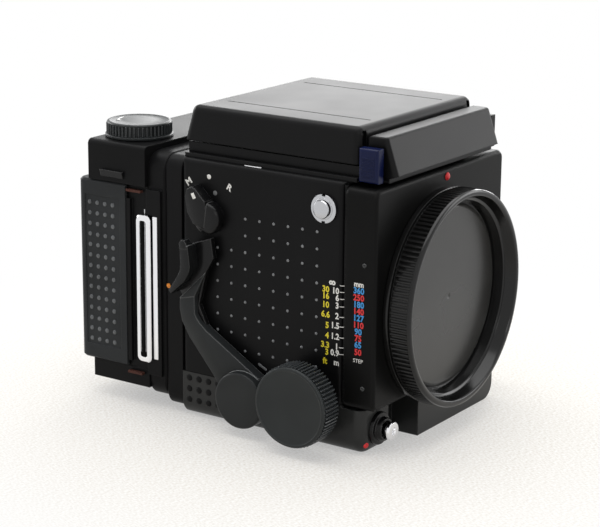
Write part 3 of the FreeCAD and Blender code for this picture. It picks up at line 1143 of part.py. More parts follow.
def film_holder():
    """The film holder: a room for two spools behind the picture gate."""
    body = new_body("holder_shell")
    near, far = f"-{NEAR_SIDE}", "holder_half"
    add(body, "holder_block", "y", (ADAPTER_BACK, HOLDER_BACK), [
        ("-holder_half + 1.6", "holder_foot"), ("holder_half - 1.6", "holder_foot"),
        ("holder_half - 1.6", "door_foot"), (far, "door_foot"), (far, "holder_top"),
        ("-holder_half", "holder_top"), ("-holder_half", "door_top + slide_fit"),
        (near, "door_top + slide_fit"), (near, "door_foot - slide_fit"),
        ("-holder_half + 1.6", "door_foot - slide_fit")])
    top = num("holder_top")
    soften(body, "holder_corners", "2.2",
           lambda edge, middle: straight_along(edge, "y") and middle.z > top - 0.01)
    inner = f"({ADAPTER_BACK} + holder_front_wall)"
    remove(body, "film_room", "y", (inner, HOLDER_BACK),
           rectangle((f"{near} + holder_wall", f"{far} - holder_wall"), (FILM_ROOM_FOOT, FILM_ROOM_TOP)))
    remove(body, "picture_gate", "y", (ADAPTER_BACK, inner),
           rectangle(("-gate_wide / 2", "gate_wide / 2"),
                     ("lens_axis_tall - gate_tall / 2", "lens_axis_tall + gate_tall / 2")))
    slot = f"({ADAPTER_BACK} + slide_back)"
    slide = block("holder_slide_slot", ("-holder_half - 1", "slide_reach + slide_fit"),
                  (f"{slot} - 0.15", f"{slot} + slide_thick + 0.15"),
                  ("slide_foot - 0.3", "slide_foot + slide_tall + 0.3"))
    spool = ("-spool_side", f"{ADAPTER_BACK} + spool_back")
    shaft = bar("holder_wind_bore", "z", spool, "3 + run_fit", (f"{FILM_ROOM_TOP} - 1", "holder_top + 1"))
    hinge = (door_axis()[0], door_axis()[1])
    wing = f"({DOOR_BACK} - door_deep - door_wing - slide_fit)"
    lugs = [block("holder_rail", (f"-({NEAR_SIDE} + rail_proud)", f"{near} + 1"),
                  (f"{ADAPTER_BACK} + slide_back + handle_thick + 0.4", wing),
                  ("handle_foot - 3", "handle_foot + handle_tall + 6"))]
    for index, foot in enumerate(("door_foot + 12", "door_top - 20")):
        lugs.append(block(f"holder_lug_{index}", (f"{hinge[0]} - 1.6", f"{hinge[0]} + 1.6"),
                          (f"{HOLDER_BACK} - 1", hinge[1]), (foot, f"{foot} + 8")))
        lugs.append(bar(f"holder_knuckle_{index}", "z", hinge, "1.6", (foot, f"{foot} + 8")))
    pin = bar("holder_pin_bore", "z", hinge, "door_pin + run_fit", ("door_foot", "door_top"))
    keep("film_holder", cut("holder_cut", fuse("holder_whole", body, *lugs), slide, shaft, pin))


def door_axis():
    """The door's hinge axis at the far rear corner of the holder."""
    return ("(holder_half - 1.6)", f"({HOLDER_BACK} + 2.2)")


def back_door():
    """The rear door, which wraps round the near side of the holder."""
    body = new_body("door_shell")
    hinge = door_axis()
    add(body, "door_block", "z", ("door_foot", "door_top"), [
        ("-holder_half", f"{DOOR_BACK} - door_deep - door_wing"),
        (f"-{NEAR_SIDE} - slide_fit", f"{DOOR_BACK} - door_deep - door_wing"),
        (f"-{NEAR_SIDE} - slide_fit", DOOR_FRONT), (hinge[0], DOOR_FRONT), (hinge[0], hinge[1]),
        ("holder_half", hinge[1]), ("holder_half", DOOR_BACK), ("-holder_half", DOOR_BACK)])
    back = num(DOOR_BACK)
    soften(body, "door_corners", "door_round",
           lambda edge, middle: straight_along(edge, "z") and middle.y > back - 0.01)
    bevel(body, "door_rim", "0.9", lambda edge, middle: abs(middle.y - back) < 0.01)
    remove(body, "door_room", "y", (DOOR_FRONT, f"{DOOR_BACK} - door_wall"),
           rectangle((f"-{NEAR_SIDE} + holder_wall", f"{hinge[0]} - 4"),
                     (FILM_ROOM_FOOT, FILM_ROOM_TOP)))
    remove(body, "door_field", "x", ("-holder_half", "-holder_half + field_sink"),
           rectangle((f"{DOOR_FRONT} - door_wing + field_edge", f"{DOOR_BACK} - door_round - 0.6"),
                     ("door_foot + 2 * field_edge", "door_top - 2 * field_edge")))
    remove(body, "note_panel", "y", (f"{DOOR_BACK} - note_sink", DOOR_BACK),
           rectangle(("-note_half", "note_half"), ("door_foot + note_edge", "door_top - note_edge")))
    knuckle = bar("door_knuckle", "z", hinge, "1.7", ("door_foot", "door_top"))
    whole = fuse("door_whole", body, knuckle)
    tools = [bar("door_pin_bore", "z", hinge, "door_pin", ("door_foot - 1", "door_top + 1"))]
    for index, foot in enumerate(("door_foot + 12", "door_top - 20")):
        tools.append(block(f"door_notch_{index}", (f"{hinge[0]} - 3.7", "holder_half + 1"),
                           (f"{HOLDER_BACK} - 1", f"{DOOR_BACK} + 1"), (f"{foot} - slide_fit", f"{foot} + 8 + slide_fit")))
    keep("back_door", cut("door_cut", whole, *tools))
    keep("door_hinge_pin", bar("door_pin_rod", "z", hinge, "door_pin", ("door_foot + 0.2", "door_top - 0.2")))
    catch = new_body("catch_bar")
    add(catch, "catch_profile", "y", (f"{HOLDER_BACK} - 19.5", f"{HOLDER_BACK} - 7.4"), [
        ("-holder_half", "door_top + 2.4"), ("-holder_half", "door_top + 5.4"),
        ("-holder_half - 1.5", "door_top + 5.4"), ("-holder_half - 0.6", "door_top + 2.4")])
    keep("door_catch", catch)


def dark_slide():
    """The steel dark slide and its looped handle."""
    face = f"({ADAPTER_BACK} + slide_back)"
    keep("dark_slide", block("slide_sheet", (f"-{NEAR_SIDE} - 0.6", "slide_reach"),
                             (face, f"{face} + slide_thick"), ("slide_foot", "slide_foot + slide_tall")))
    middle = f"({face} + slide_thick / 2 + handle_offset)"
    x = (f"-{NEAR_SIDE} - 0.6 - handle_out", f"-{NEAR_SIDE} - 0.6")
    low, high = "(handle_foot + handle_thick / 2)", "(handle_foot + handle_tall - handle_thick / 2)"
    pieces = {}
    for word, inset, over in (("outer", "0", "0"), ("inner", "handle_bar", "1")):
        radius = f"(handle_thick / 2 - {inset})"
        reach = (f"{x[0]} - {over}", f"{x[1]} + {over}")
        pieces[word] = fuse(f"handle_{word}",
                            block(f"handle_{word}_side", reach, (f"{middle} - {radius}", f"{middle} + {radius}"),
                                  (low, high)),
                            bar(f"handle_{word}_foot", "x", (middle, low), radius, reach),
                            bar(f"handle_{word}_top", "x", (middle, high), radius, reach))
    keep("slide_handle", cut("handle_cut", pieces["outer"], pieces["inner"]))


def film_path():
    """Spools, rollers, pressure plate and the wind knob."""
    room = (f"{FILM_ROOM_FOOT} + slide_fit", f"{FILM_ROOM_TOP} - slide_fit")
    back = f"({ADAPTER_BACK} + spool_back)"
    for word, sign in (("take_up", "-"), ("supply", "")):
        keep(f"{word}_spool", turned(f"{word}_reel", "z", (f"{sign}spool_side", back), [
            (room[0], "0"), (room[0], "spool_radius"), (f"{room[0]} + 1.1", "spool_radius"),
            (f"{room[0]} + 1.1", "5.8"), (f"{room[1]} - 1.1", "5.8"), (f"{room[1]} - 1.1", "spool_radius"),
            (room[1], "spool_radius"), (room[1], "0")]))
    rollers = [bar(f"{word}_roller", "z", (f"{sign}(spool_side + 11.5)", f"{ADAPTER_BACK} + 6.4"), "2.3", room)
               for word, sign in (("near", "-"), ("far", ""))]
    keep("guide_rollers", pair("roller_pair", *rollers))
    keep("pressure_plate", block("pressure_sheet", ("-gate_wide / 2 - 1.5", "gate_wide / 2 + 1.5"),
                                 (f"{ADAPTER_BACK} + holder_front_wall + 0.2",
                                  f"{ADAPTER_BACK} + holder_front_wall + 1.4"),
                                 ("lens_axis_tall - gate_tall / 2 - 2", "lens_axis_tall + gate_tall / 2 + 2")))
    top = "(holder_top + 0.2)"
    spool = ("-spool_side", back)
    knob = turned("wind_core", "z", spool, [
        (room[1], "0"), (room[1], "3"), (top, "3"), (top, "wind_radius"), (f"{top} + 1.3", "wind_radius"),
        (f"{top} + 1.7", "wind_radius - 1.3"), (f"{top} + wind_tall - 1", "wind_radius - 1.3"),
        (f"{top} + wind_tall - 0.2", "wind_radius - 2.6"), (f"{top} + wind_tall", "wind_radius - 4.6"),
        (f"{top} + wind_tall", "0")])
    grip = ribbed("wind_grip", "z", spool, "wind_radius - 0.5", "wind_radius - 2.6", "wind_rib_count",
                  (f"{top} + 1.8", f"{top} + wind_tall - 1.3"))
    keep("wind_knob", fuse("wind_whole", knob, grip))
    seats = (("(holder_half - 1.6)", "door_foot - slide_fit - 2.6"), (NEAR_SIDE, "rail_top - 2"))
    plates = [block(f"lock_plate_{index}", (f"-{seat} - 2", f"-{seat}"),
                    (f"{ADAPTER_BACK} + 2.6", f"{ADAPTER_BACK} + 10.4"), (low, f"{low} + 1"))
              for index, (seat, low) in enumerate(seats)]
    keep("slide_lock_plates", pair("lock_plate_pair", *plates))


for maker in (body_casting, side_covers, base_housing, base_fittings, focusing_screen, top_cover,
              nameplate_bar, finder_buttons, finder_base, hood_lid, hood_panels, magnifier, mirror,
              front_standard, focusing_drive, bellows, body_cap, cocking_lever, mode_lever, release,
              strap_lugs, left_controls, rear_frame, revolving_adapter, film_holder, back_door,
              dark_slide, film_path):
    maker()
doc.recompute()

for thing in doc.Objects:
    if "Invalid" in thing.State or "Error" in thing.State:
        raise RuntimeError(f"{thing.Name} failed: {thing.State}")
for name, thing in NODES.items():
    if thing.Shape.isNull() or not thing.Shape.isValid() or not thing.Shape.Solids:
        raise RuntimeError(f"{name} has no valid solid")
os.makedirs("parts", exist_ok=True)
for name, thing in NODES.items():
    thing.Shape.exportStep(f"parts/{name}.step")
print(len(NODES), "nodes")
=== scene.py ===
"""Finishes, small details and studio for a medium format film camera.

Metres, in the CAD model's frame: the lens looks along -Y, +Z is up and the
photographer's right hand is at -X. The drawing distances below are in millimetres
and are measured along Y from the face of the front standard.
"""
import math

import bmesh
import bpy
from mathutils import Matrix, Vector


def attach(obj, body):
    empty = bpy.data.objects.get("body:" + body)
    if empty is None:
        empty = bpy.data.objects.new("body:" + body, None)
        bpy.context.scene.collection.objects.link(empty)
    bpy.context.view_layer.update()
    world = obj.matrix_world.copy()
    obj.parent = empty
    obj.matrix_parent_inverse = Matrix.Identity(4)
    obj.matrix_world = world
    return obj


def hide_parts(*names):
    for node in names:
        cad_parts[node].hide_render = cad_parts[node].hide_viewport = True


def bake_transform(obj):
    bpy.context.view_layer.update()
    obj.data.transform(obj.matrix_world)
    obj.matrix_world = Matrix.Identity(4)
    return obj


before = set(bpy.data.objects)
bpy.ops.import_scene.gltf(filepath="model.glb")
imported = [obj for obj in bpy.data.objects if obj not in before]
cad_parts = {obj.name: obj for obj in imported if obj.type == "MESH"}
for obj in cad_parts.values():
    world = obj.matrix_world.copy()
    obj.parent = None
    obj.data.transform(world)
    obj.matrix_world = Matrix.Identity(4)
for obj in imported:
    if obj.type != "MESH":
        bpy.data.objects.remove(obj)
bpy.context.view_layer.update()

# Where faces stand, in millimetres: the front, the mount's axis, the side covers, the sides of
# the standard and the door, the door's back and the film holder's top
FRONT_FACE = -55.0
LENS_AXIS = 59.0
SIDE = 49.9
OUTER_SIDE = 51.4
DOOR_BACK = 152.9
HOLDER_TOP = 116.0

# The thickness of printed paint, and the angle from which an edge is drawn sharp
PRINT = 0.02
CREASE = math.radians(32)


def srgb(red, green, blue):
    """A colour given as a screen shows it, 0 to 255."""
    def linear(value):
        value /= 255
        return value / 12.92 if value <= 0.04045 else ((value + 0.055) / 1.055) ** 2.4
    return (linear(red), linear(green), linear(blue), 1.0)


def tinted(shade, share=1.0, added=0):
    """A shade made darker by a share or paler by an addition."""
    return srgb(*[value * share + added for value in shade])


# Shader nodes

def add_node(tree, kind, **settings):
    """A node with its sockets and its own settings given by name."""
    node = tree.nodes.new(kind)
    for key, value in settings.items():
        socket = key.replace("_", " ")
        if socket in node.inputs:
            node.inputs[socket].default_value = value
        else:
            setattr(node, key, value)
    return node


def reckoned(tree, operation, first, second):
    """Two values brought together by arithmetic."""
    node = add_node(tree, "ShaderNodeMath", operation=operation)
    tree.links.new(first, node.inputs[0])
    tree.links.new(second, node.inputs[1])
    return node.outputs["Value"]


def ranged(tree, value, start, end, low=0.0, high=1.0, curve="LINEAR"):
    """The value's range from start to end brought to the range from low to high."""
    band = add_node(tree, "ShaderNodeMapRange", interpolation_type=curve)
    for label, number in (("From Min", start), ("From Max", end), ("To Min", low), ("To Max", high)):
        band.inputs[label].default_value = number
    tree.links.new(value, band.inputs["Value"])
    return band.outputs["Result"]


def spread(tree, value, low, high):
    """The middle range of a noise spread between two values."""
    return ranged(tree, value, 0.3, 0.7, low, high)


def mixed(tree, factor, low, high):
    """A colour between two; the first may come from a socket."""
    mix = add_node(tree, "ShaderNodeMix", data_type="RGBA")
    if isinstance(low, bpy.types.NodeSocket):
        tree.links.new(low, mix.inputs["A"])
    else:
        mix.inputs["A"].default_value = low
    mix.inputs["B"].default_value = high
    tree.links.new(factor, mix.inputs["Factor"])
    return mix.outputs["Result"]


def grain(tree, place, scale, detail=3.0, stretch=(1, 1, 1)):
    """Noise in millimetres: scale is the number of grains in a millimetre."""
    mapping = tree.nodes.new("ShaderNodeMapping")
    mapping.inputs["Scale"].default_value = [value * 1000 for value in stretch]
    tree.links.new(place.outputs["Object"], mapping.inputs["Vector"])
    noise = add_node(tree, "ShaderNodeTexNoise", Scale=scale, Detail=detail, Roughness=0.55)
    tree.links.new(mapping.outputs["Vector"], noise.inputs["Vector"])
    return noise


def rounded_normal(tree, radius):
    """Softens hard edges so that they catch the light."""
    return add_node(tree, "ShaderNodeBevel", samples=4, Radius=radius / 1000).outputs["Normal"]


def relief(tree, shader, noise, depth, normal=None):
    """Bumps of a depth in millimetres, laid over a rounded normal where there is one."""
    bump = add_node(tree, "ShaderNodeBump", Strength=1.0, Distance=depth / 1000)
    tree.links.new(noise.outputs["Fac"], bump.inputs["Height"])
    if normal:
        tree.links.new(normal, bump.inputs["Normal"])
    tree.links.new(bump.outputs["Normal"], shader.inputs["Normal"])


def mottle(tree, shader, noise, dark, light):
    """Two close colours in patches."""
    factor = spread(tree, noise.outputs["Fac"], 0, 1)
    tree.links.new(mixed(tree, factor, dark, light), shader.inputs["Base Color"])


def uneven_gloss(tree, shader, noise, low, high):
    """A roughness that drifts between two values."""
    tree.links.new(spread(tree, noise.outputs["Fac"], low, high), shader.inputs["Roughness"])


def worn_and_highlit_edges(tree, shader, rounded, colour, wear_and_highlight):
    """Paints edges paler where the rounded normal leaves the true one: rubbing, and a painted highlight
    that is strongest on upper edges.
    """
    face = tree.nodes.new("ShaderNodeNewGeometry")
    # The product of the two normals is 1 on a flat face and less where they part
    meet = add_node(tree, "ShaderNodeVectorMath", operation="DOT_PRODUCT")
    tree.links.new(rounded, meet.inputs[0])
    tree.links.new(face.outputs["Normal"], meet.inputs[1])
    edge = ranged(tree, meet.outputs["Value"], 0.995, 0.8, 0.0, wear_and_highlight)
    # Painted light: edges that face up are painted paler than those that face down
    parts = tree.nodes.new("ShaderNodeSeparateXYZ")
    tree.links.new(rounded, parts.inputs["Vector"])
    painted_top_light = ranged(tree, parts.outputs["Z"], -0.3, 0.5, 0.15)
    below = shader.inputs["Base Color"]
    factor = reckoned(tree, "MULTIPLY", edge, painted_top_light)
    tree.links.new(mixed(tree, factor, below.links[0].from_socket, colour), below)


# Finishes

FINISH = {}


def new_finish(name, shade, roughness, metallic=0.0, specular=0.5):
    """Lists a new material and gives its tree, its shader and the coordinates for its pattern."""
    material = bpy.data.materials.new(name)
    material.use_nodes = True
    FINISH[name] = material
    tree = material.node_tree
    shader = tree.nodes["Principled BSDF"]
    shader.inputs["Base Color"].default_value = srgb(*shade)
    shader.inputs["Roughness"].default_value = roughness
    shader.inputs["Metallic"].default_value = metallic
    shader.inputs["Specular IOR Level"].default_value = specular
    return tree, shader, tree.nodes.new("ShaderNodeTexCoord")


def moulded_plastic(name, shade, roughness, grain_size, grain_depth, edge, specular, wear_and_highlight, paler):
    """Moulded or painted plastic: fine spark-eroded grain, faint patches, edges painted paler as rubbing
    and as a highlight.
    """
    tree, shader, place = new_finish(name, shade, roughness, specular=specular)
    patches = grain(tree, place, 0.03, 2.0)
    mottle(tree, shader, patches, tinted(shade, 0.9), tinted(shade, 1.12))
    fine = grain(tree, place, 1 / grain_size, 2.0)
    rounded = rounded_normal(tree, edge)
    worn_and_highlit_edges(tree, shader, rounded, tinted(shade, added=paler), wear_and_highlight)
    uneven_gloss(tree, shader, patches, roughness - 0.015, roughness + 0.025)
    relief(tree, shader, fine, grain_depth, rounded)


def metal(name, shade, roughness, brush, corner_shade_reach):
    """Metal, brushed along one direction or plainly polished, with shade painted darker into its corners;
    the last argument is how far it reaches.
    """
    edge, brushed_depth, polished_depth = 0.15, 0.006, 0.001
    tree, shader, place = new_finish(name, shade, roughness, metallic=1.0)
    if corner_shade_reach:
        # Painted shade: ambient occlusion darkens the colour in corners and crevices
        corners = add_node(tree, "ShaderNodeAmbientOcclusion", samples=8, Distance=corner_shade_reach / 1000)
        factor = spread(tree, corners.outputs["AO"], 0.0, 1.0)
        tree.links.new(mixed(tree, factor, tinted(shade, 0.3), srgb(*shade)), shader.inputs["Base Color"])
    lines = grain(tree, place, 1.2, 3.0, brush or (0.6, 0.6, 0.6))
    uneven_gloss(tree, shader, lines, roughness * 0.75, roughness * 1.35)
    relief(tree, shader, lines, brushed_depth if brush else polished_depth, rounded_normal(tree, edge))


def printed(name, shade):
    """Screen-printed paint, slightly uneven."""
    tree, shader, place = new_finish(name, shade, 0.5)
    mottle(tree, shader, grain(tree, place, 3.0, 2.0), tinted(shade, 0.88), srgb(*shade))


def lens_glass():
    """Coated lens glass."""
    tree, shader, place = new_finish("lens_glass", (236, 244, 246), 0.02)
    shader.inputs["Transmission Weight"].default_value = 1.0
    shader.inputs["IOR"].default_value = 1.52
    uneven_gloss(tree, shader, grain(tree, place, 0.8, 4.0), 0.01, 0.06)


def screen_glass():
    """The frosted focusing screen."""
    tree, shader, place = new_finish("screen_glass", (206, 210, 206), 0.45)
    shader.inputs["Transmission Weight"].default_value = 0.6
    shader.inputs["IOR"].default_value = 1.49
    relief(tree, shader, grain(tree, place, 6.0, 2.0), 0.02)


def mirror_silver():
    """The reflex mirror's front-silvered face."""
    tree, shader, place = new_finish("mirror_silver", (226, 228, 232), 0.03, metallic=1.0)
    uneven_gloss(tree, shader, grain(tree, place, 0.05, 3.0), 0.02, 0.07)


def bellows_cloth():
    """Black coated cloth of the bellows."""
    tree, shader, place = new_finish("bellows_cloth", (26, 26, 27), 0.75)
    shader.inputs["Sheen Weight"].default_value = 0.3
    relief(tree, shader, grain(tree, place, 2.5, 2.0, (1, 0.4, 1)), 0.06)


# Name, shade, roughness, grain size, grain depth and edge radius in millimetres, specular level,
# how strongly the edges are painted paler as rubbing and as a painted highlight, and how much paler they
# get
PLASTICS = (
    ("body_shell", (14, 14, 15), 0.36, 0.32, 0.020, 0.6, 0.10, 0.35, 40),
    ("base_shell", (38, 39, 39), 0.36, 0.40, 0.016, 0.7, 0.25, 0.35, 40),
    ("standard_shell", (13, 13, 13), 0.34, 0.35, 0.018, 1.5, 0.08, 0.35, 40),
    ("hood_paint", (13, 13, 14), 0.36, 0.50, 0.008, 0.7, 0.12, 0.35, 40),
    ("film_back_shell", (17, 17, 18), 0.38, 0.30, 0.022, 0.7, 0.08, 0.35, 40),
    ("door_shell", (46, 48, 50), 0.40, 0.30, 0.022, 0.7, 0.08, 0.35, 40),
    # Paler copies of the plastic for the nubs: painted highlights on the small domes
    ("nub_plastic", (112, 114, 117), 0.25, 0.60, 0.004, 0.1, 0.50, 0.35, 40),
    ("door_nub", (86, 89, 92), 0.25, 0.60, 0.004, 0.1, 0.40, 0.35, 40),
    ("knob_plastic", (44, 47, 48), 0.30, 0.60, 0.006, 0.3, 0.15, 1.0, 70),
    # A paler copy of the knob plastic for the ribs: painted light on the rib crests
    ("grip_rib", (52, 55, 57), 0.26, 0.60, 0.004, 0.2, 0.30, 1.0, 80),
    ("lever_lacquer", (40, 42, 43), 0.30, 0.70, 0.006, 0.6, 0.15, 1.0, 110),
    ("lever_black", (15, 15, 16), 0.24, 0.70, 0.006, 0.6, 0.20, 1.0, 80),
    # A darker copy of the lever lacquer for the thumb flange: painted shade, with painted highlights on
    # its edges
    ("lever_thumb", (22, 23, 24), 0.26, 0.70, 0.006, 0.5, 0.20, 1.0, 100),
    ("cap_plastic", (15, 15, 15), 0.14, 0.80, 0.003, 0.3, 0.30, 1.0, 40),
    # Copies of the cap plastic: the ribs a little paler and the face much paler, as painted light
    ("cap_rib", (20, 20, 20), 0.22, 0.80, 0.004, 0.2, 0.30, 1.0, 48),
    ("cap_face", (46, 46, 45), 0.26, 0.80, 0.006, 0.25, 0.40, 0.35, 40),
    ("inner_black", (12, 12, 12), 0.70, 0.30, 0.020, 0.35, 0.08, 0.0, 40),
    ("button_blue", (11, 19, 54), 0.25, 0.60, 0.004, 0.5, 0.15, 0.35, 40),
    ("rust_red", (78, 50, 44), 0.40, 0.50, 0.010, 0.2, 0.08, 0.35, 40),
)
# Name, shade, roughness, the stretch of the brushing and the reach of the painted corner shade in
# millimetres
METALS = (
    ("chrome", (232, 232, 234), 0.10, None, 1.2),
    # A darker copy of chrome for the lugs and fittings: painted shade for the dark surroundings they
    # reflect
    ("lug_chrome", (186, 187, 190), 0.16, None, 3.0),
    ("steel", (170, 171, 173), 0.28, (2.5, 0.08, 0.08), 0.0),
    ("slide_steel", (188, 189, 190), 0.22, (0.1, 2.5, 0.1), 0.0),
    ("brass", (196, 158, 88), 0.30, (0.1, 2.0, 2.0), 0.0),
)
# Name and shade
INKS = (
    ("print_white", (244, 244, 242)),
    ("print_grey", (108, 110, 112)),
    ("print_yellow", (240, 222, 40)),
    ("print_blue", (60, 156, 230)),
    ("print_red", (232, 44, 50)),
    ("print_orange", (244, 148, 44)),
)
for make, rows in ((moulded_plastic, PLASTICS), (metal, METALS), (printed, INKS)):
    for row in rows:
        make(*row)
lens_glass()
screen_glass()
mirror_silver()
bellows_cloth()

NODE_FINISH = {
    "body_casting": "inner_black", "right_side_cover": "body_shell", "left_side_cover": "body_shell",
    "base_housing": "base_shell", "base_plate": "hood_paint", "tripod_bush": "steel",
    "battery": "steel", "battery_cover": "knob_plastic", "focusing_screen": "screen_glass",
    "top_cover": "hood_paint", "nameplate_bar": "hood_paint", "finder_base": "hood_paint",
    "rear_frame": "film_back_shell", "strap_lugs": "chrome", "accessory_shoe": "lug_chrome",
    "sync_socket": "lug_chrome", "bellows": "bellows_cloth", "front_standard": "standard_shell",
    "lens_mount_ring": "chrome", "focus_racks": "steel", "focus_shaft": "steel",
    "focus_pinions": "brass", "right_focus_knob": "knob_plastic", "left_focus_knob": "knob_plastic",
    "body_cap": "cap_plastic", "hood_lid": "hood_paint", "lid_hinge_pins": "steel",
    "hood_right_panel": "inner_black", "hood_left_panel": "inner_black",
    "hood_rear_panel": "inner_black", "magnifier_frame": "inner_black", "magnifier_lens": "lens_glass",
    "right_finder_button": "button_blue", "left_finder_button": "hood_paint",
    "cocking_lever": "lever_lacquer", "cocking_shaft": "steel", "mode_lever": "lever_black",
    "shutter_button": "chrome", "release_collar": "lever_black", "mirror_holder": "inner_black",
    "mirror_glass": "mirror_silver", "mirror_shaft": "steel", "speed_dial": "knob_plastic",
    "focus_lock_lever": "lever_lacquer", "revolving_adapter": "film_back_shell",
    "adapter_strip": "chrome", "film_holder": "film_back_shell", "guide_rollers": "steel",
    "pressure_plate": "steel", "slide_lock_plates": "rust_red", "dark_slide": "slide_steel",
    "slide_handle": "chrome", "back_door": "door_shell", "door_hinge_pin": "steel",
    "door_catch": "lever_black", "wind_knob": "knob_plastic", "take_up_spool": "inner_black",
    "supply_spool": "inner_black",
}
for node, finish in NODE_FINISH.items():
    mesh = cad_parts[node].data
    mesh.materials.clear()
    mesh.materials.append(FINISH[finish])


# Places on the faces: which way a side looks, and which way its own X runs

NEAR = ((-1, 0, 0), (0, -1, 0))
FAR = ((1, 0, 0), (0, 1, 0))
FRONT = ((0, -1, 0), (1, 0, 0))
REAR = ((0, 1, 0), (-1, 0, 0))
TOP = ((0, 0, 1), (1, 0, 0))
NOSE = ((-0.36, -0.93, 0), (0.93, -0.36, 0))
SIDES = ((NEAR, "right", -1), (FAR, "left", 1))


def at(x, y, z):
    """A place on the camera, in metres."""
    return Vector((x, y + FRONT_FACE, z)) / 1000


def shifted(x, y, z):
    """A move in millimetres."""
    return Matrix.Translation(Vector((x, y, z)) / 1000)


def spun(degrees):
    """A turn about Z."""
    return Matrix.Rotation(math.radians(degrees), 4, "Z")


def polar(radius, degrees):
    """A point on a circle."""
    return radius * math.cos(math.radians(degrees)), radius * math.sin(math.radians(degrees))


def facing(side, x, y, z, turn=0.0):
    """A frame at a place on the camera: its Z points out of that side and its X runs across it."""
    out, across = Vector(side[0]), Vector(side[1])
    axes = Matrix((across, out.cross(across), out)).transposed().to_4x4()
    return Matrix.Translation(at(x, y, z)) @ axes @ spun(turn)


# Shapes, drawn in millimetres on their own XY plane

def finished_mesh(shape):
    """The mesh of a drawn shape, with its faces outward."""
    bmesh.ops.recalc_face_normals(shape, faces=shape.faces)
    mesh = bpy.data.meshes.new("shape")
    shape.to_mesh(mesh)
    shape.free()
    return mesh


def skinned(rings, closed=False):
    """Faces between neighbouring rings; a ring of one point is a pole."""
    shape = bmesh.new()
    loops = [[shape.verts.new(Vector(point) / 1000) for point in ring] for ring in rings]
    steps = max(len(loop) for loop in loops)
    for low, high in zip(loops, loops[1:] + (loops[:1] if closed else [])):
        for index in range(steps):
            after = (index + 1) % steps
            corners = (low[index % len(low)], low[after % len(low)],
                       high[after % len(high)], high[index % len(high)])
            shape.faces.new(list(dict.fromkeys(corners)))
    return finished_mesh(shape)


def turned(profile, steps=96):
    """A shape turned round Z from (height, radius) points that begin and end on the axis."""
    rings = []
    for height, radius in profile:
        count = steps if radius > 0 else 1
        rings.append([(*polar(radius, 360 * index / steps), height) for index in range(count)])
    return skinned(rings)


def rounded_outline(half_wide, half_tall, corner, steps=4, middle=(0, 0)):
    """A rectangle with rounded corners."""
    points = []
    for quarter, (across, up) in enumerate(((1, 1), (-1, 1), (-1, -1), (1, -1))):
        for step in range(steps + 1):
            x, y = polar(corner, 90 * (quarter + step / steps))
            points.append((middle[0] + across * (half_wide - corner) + x,
                           middle[1] + up * (half_tall - corner) + y))
    return points


def plate(outline, low, high, edge=0.15):
    """A flat piece between two heights, its upper edge bevelled."""
    shape = bmesh.new()
    floor = shape.faces.new([shape.verts.new((x / 1000, y / 1000, low / 1000)) for x, y in outline])
    raised = bmesh.ops.extrude_face_region(shape, geom=[floor])["geom"]
    top = [item for item in raised if isinstance(item, bmesh.types.BMVert)]
    bmesh.ops.translate(shape, verts=top, vec=(0, 0, (high - low) / 1000))
    rim = [line for line in shape.edges if all(corner in top for corner in line.verts)]
    bmesh.ops.bevel(shape, geom=rim, offset=edge / 1000, segments=2, affect="EDGES", profile=0.5)
    return finished_mesh(shape)


def made_mesh(holder):
    """The mesh that a text or a modifier makes; the object that held it goes."""
    graph = bpy.context.evaluated_depsgraph_get()
    mesh = bpy.data.meshes.new_from_object(holder.evaluated_get(graph))
    bpy.data.objects.remove(holder)
    return mesh


def held(name, data):
    """A new object in the scene."""
    thing = bpy.data.objects.new(name, data)
    bpy.context.scene.collection.objects.link(thing)
    return thing


def lettering(words, tall, narrow=0.95, bold=0.045):
    """Flat raised numbers or letters, centred; tall is the height of a capital."""
    capital_share = 0.7
    curve = bpy.data.curves.new("words", "FONT")
    curve.body = words
    curve.size = tall / 1000 / capital_share
    curve.align_x, curve.align_y = "CENTER", "CENTER"
    curve.extrude = PRINT / 1000
    curve.offset = bold * tall / 1000
    curve.resolution_u = 2
    mesh = made_mesh(held("words", curve))
    mesh.transform(Matrix.Diagonal((narrow, 1, 1, 1)))
    return mesh


def gather(parts):
    """One mesh from several, each moved to its place."""
    whole = bmesh.new()
    for mesh, place in parts:
        moved = mesh.copy()
        moved.transform(place)
        whole.from_mesh(moved)
        bpy.data.meshes.remove(moved)
    mesh = bpy.data.meshes.new("gathered")
    whole.to_mesh(mesh)
    whole.free()
    return mesh


def piece(name, parts, finish, body, stands_for=()):
    """A finished piece at the origin that rides on a body; with no body, its caller moves it."""
    mesh = gather(parts)
    mesh.name = name
    mesh.materials.clear()
    mesh.materials.append(FINISH[finish])
    mesh.shade_smooth()
    mesh.set_sharp_from_angle(angle=CREASE)
    thing = held(name, mesh)
    if body:
        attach(thing, body)
    if stands_for:
        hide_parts(*stands_for)
    return thing


# Geometry Nodes for what repeats

def tree_start(name, inputs):
    """An empty tree with its named inputs and the geometry that comes out."""
    tree = bpy.data.node_groups.new(name, "GeometryNodeTree")
    for label, kind in inputs:
        tree.interface.new_socket(label, in_out="INPUT", socket_type=kind)
    tree.interface.new_socket("Pieces", in_out="OUTPUT", socket_type="NodeSocketGeometry")
    return tree, tree.nodes.new("NodeGroupInput")


def tree_end(tree, start, spots):
    """Realizes the instances and gives them their finish."""
    real = tree.nodes.new("GeometryNodeRealizeInstances")
    coat = tree.nodes.new("GeometryNodeSetMaterial")
    end = tree.nodes.new("NodeGroupOutput")
    tree.links.new(spots.outputs["Instances"], real.inputs["Geometry"])
    tree.links.new(real.outputs["Geometry"], coat.inputs["Geometry"])
    tree.links.new(start.outputs["Finish"], coat.inputs["Material"])
    tree.links.new(coat.outputs["Geometry"], end.inputs["Pieces"])


def stud_shape(tree):
    """A low rounded stud."""
    ball = add_node(tree, "GeometryNodeMeshUVSphere", Segments=12, Rings=6, Radius=1.0)
    return ball.outputs["Mesh"]


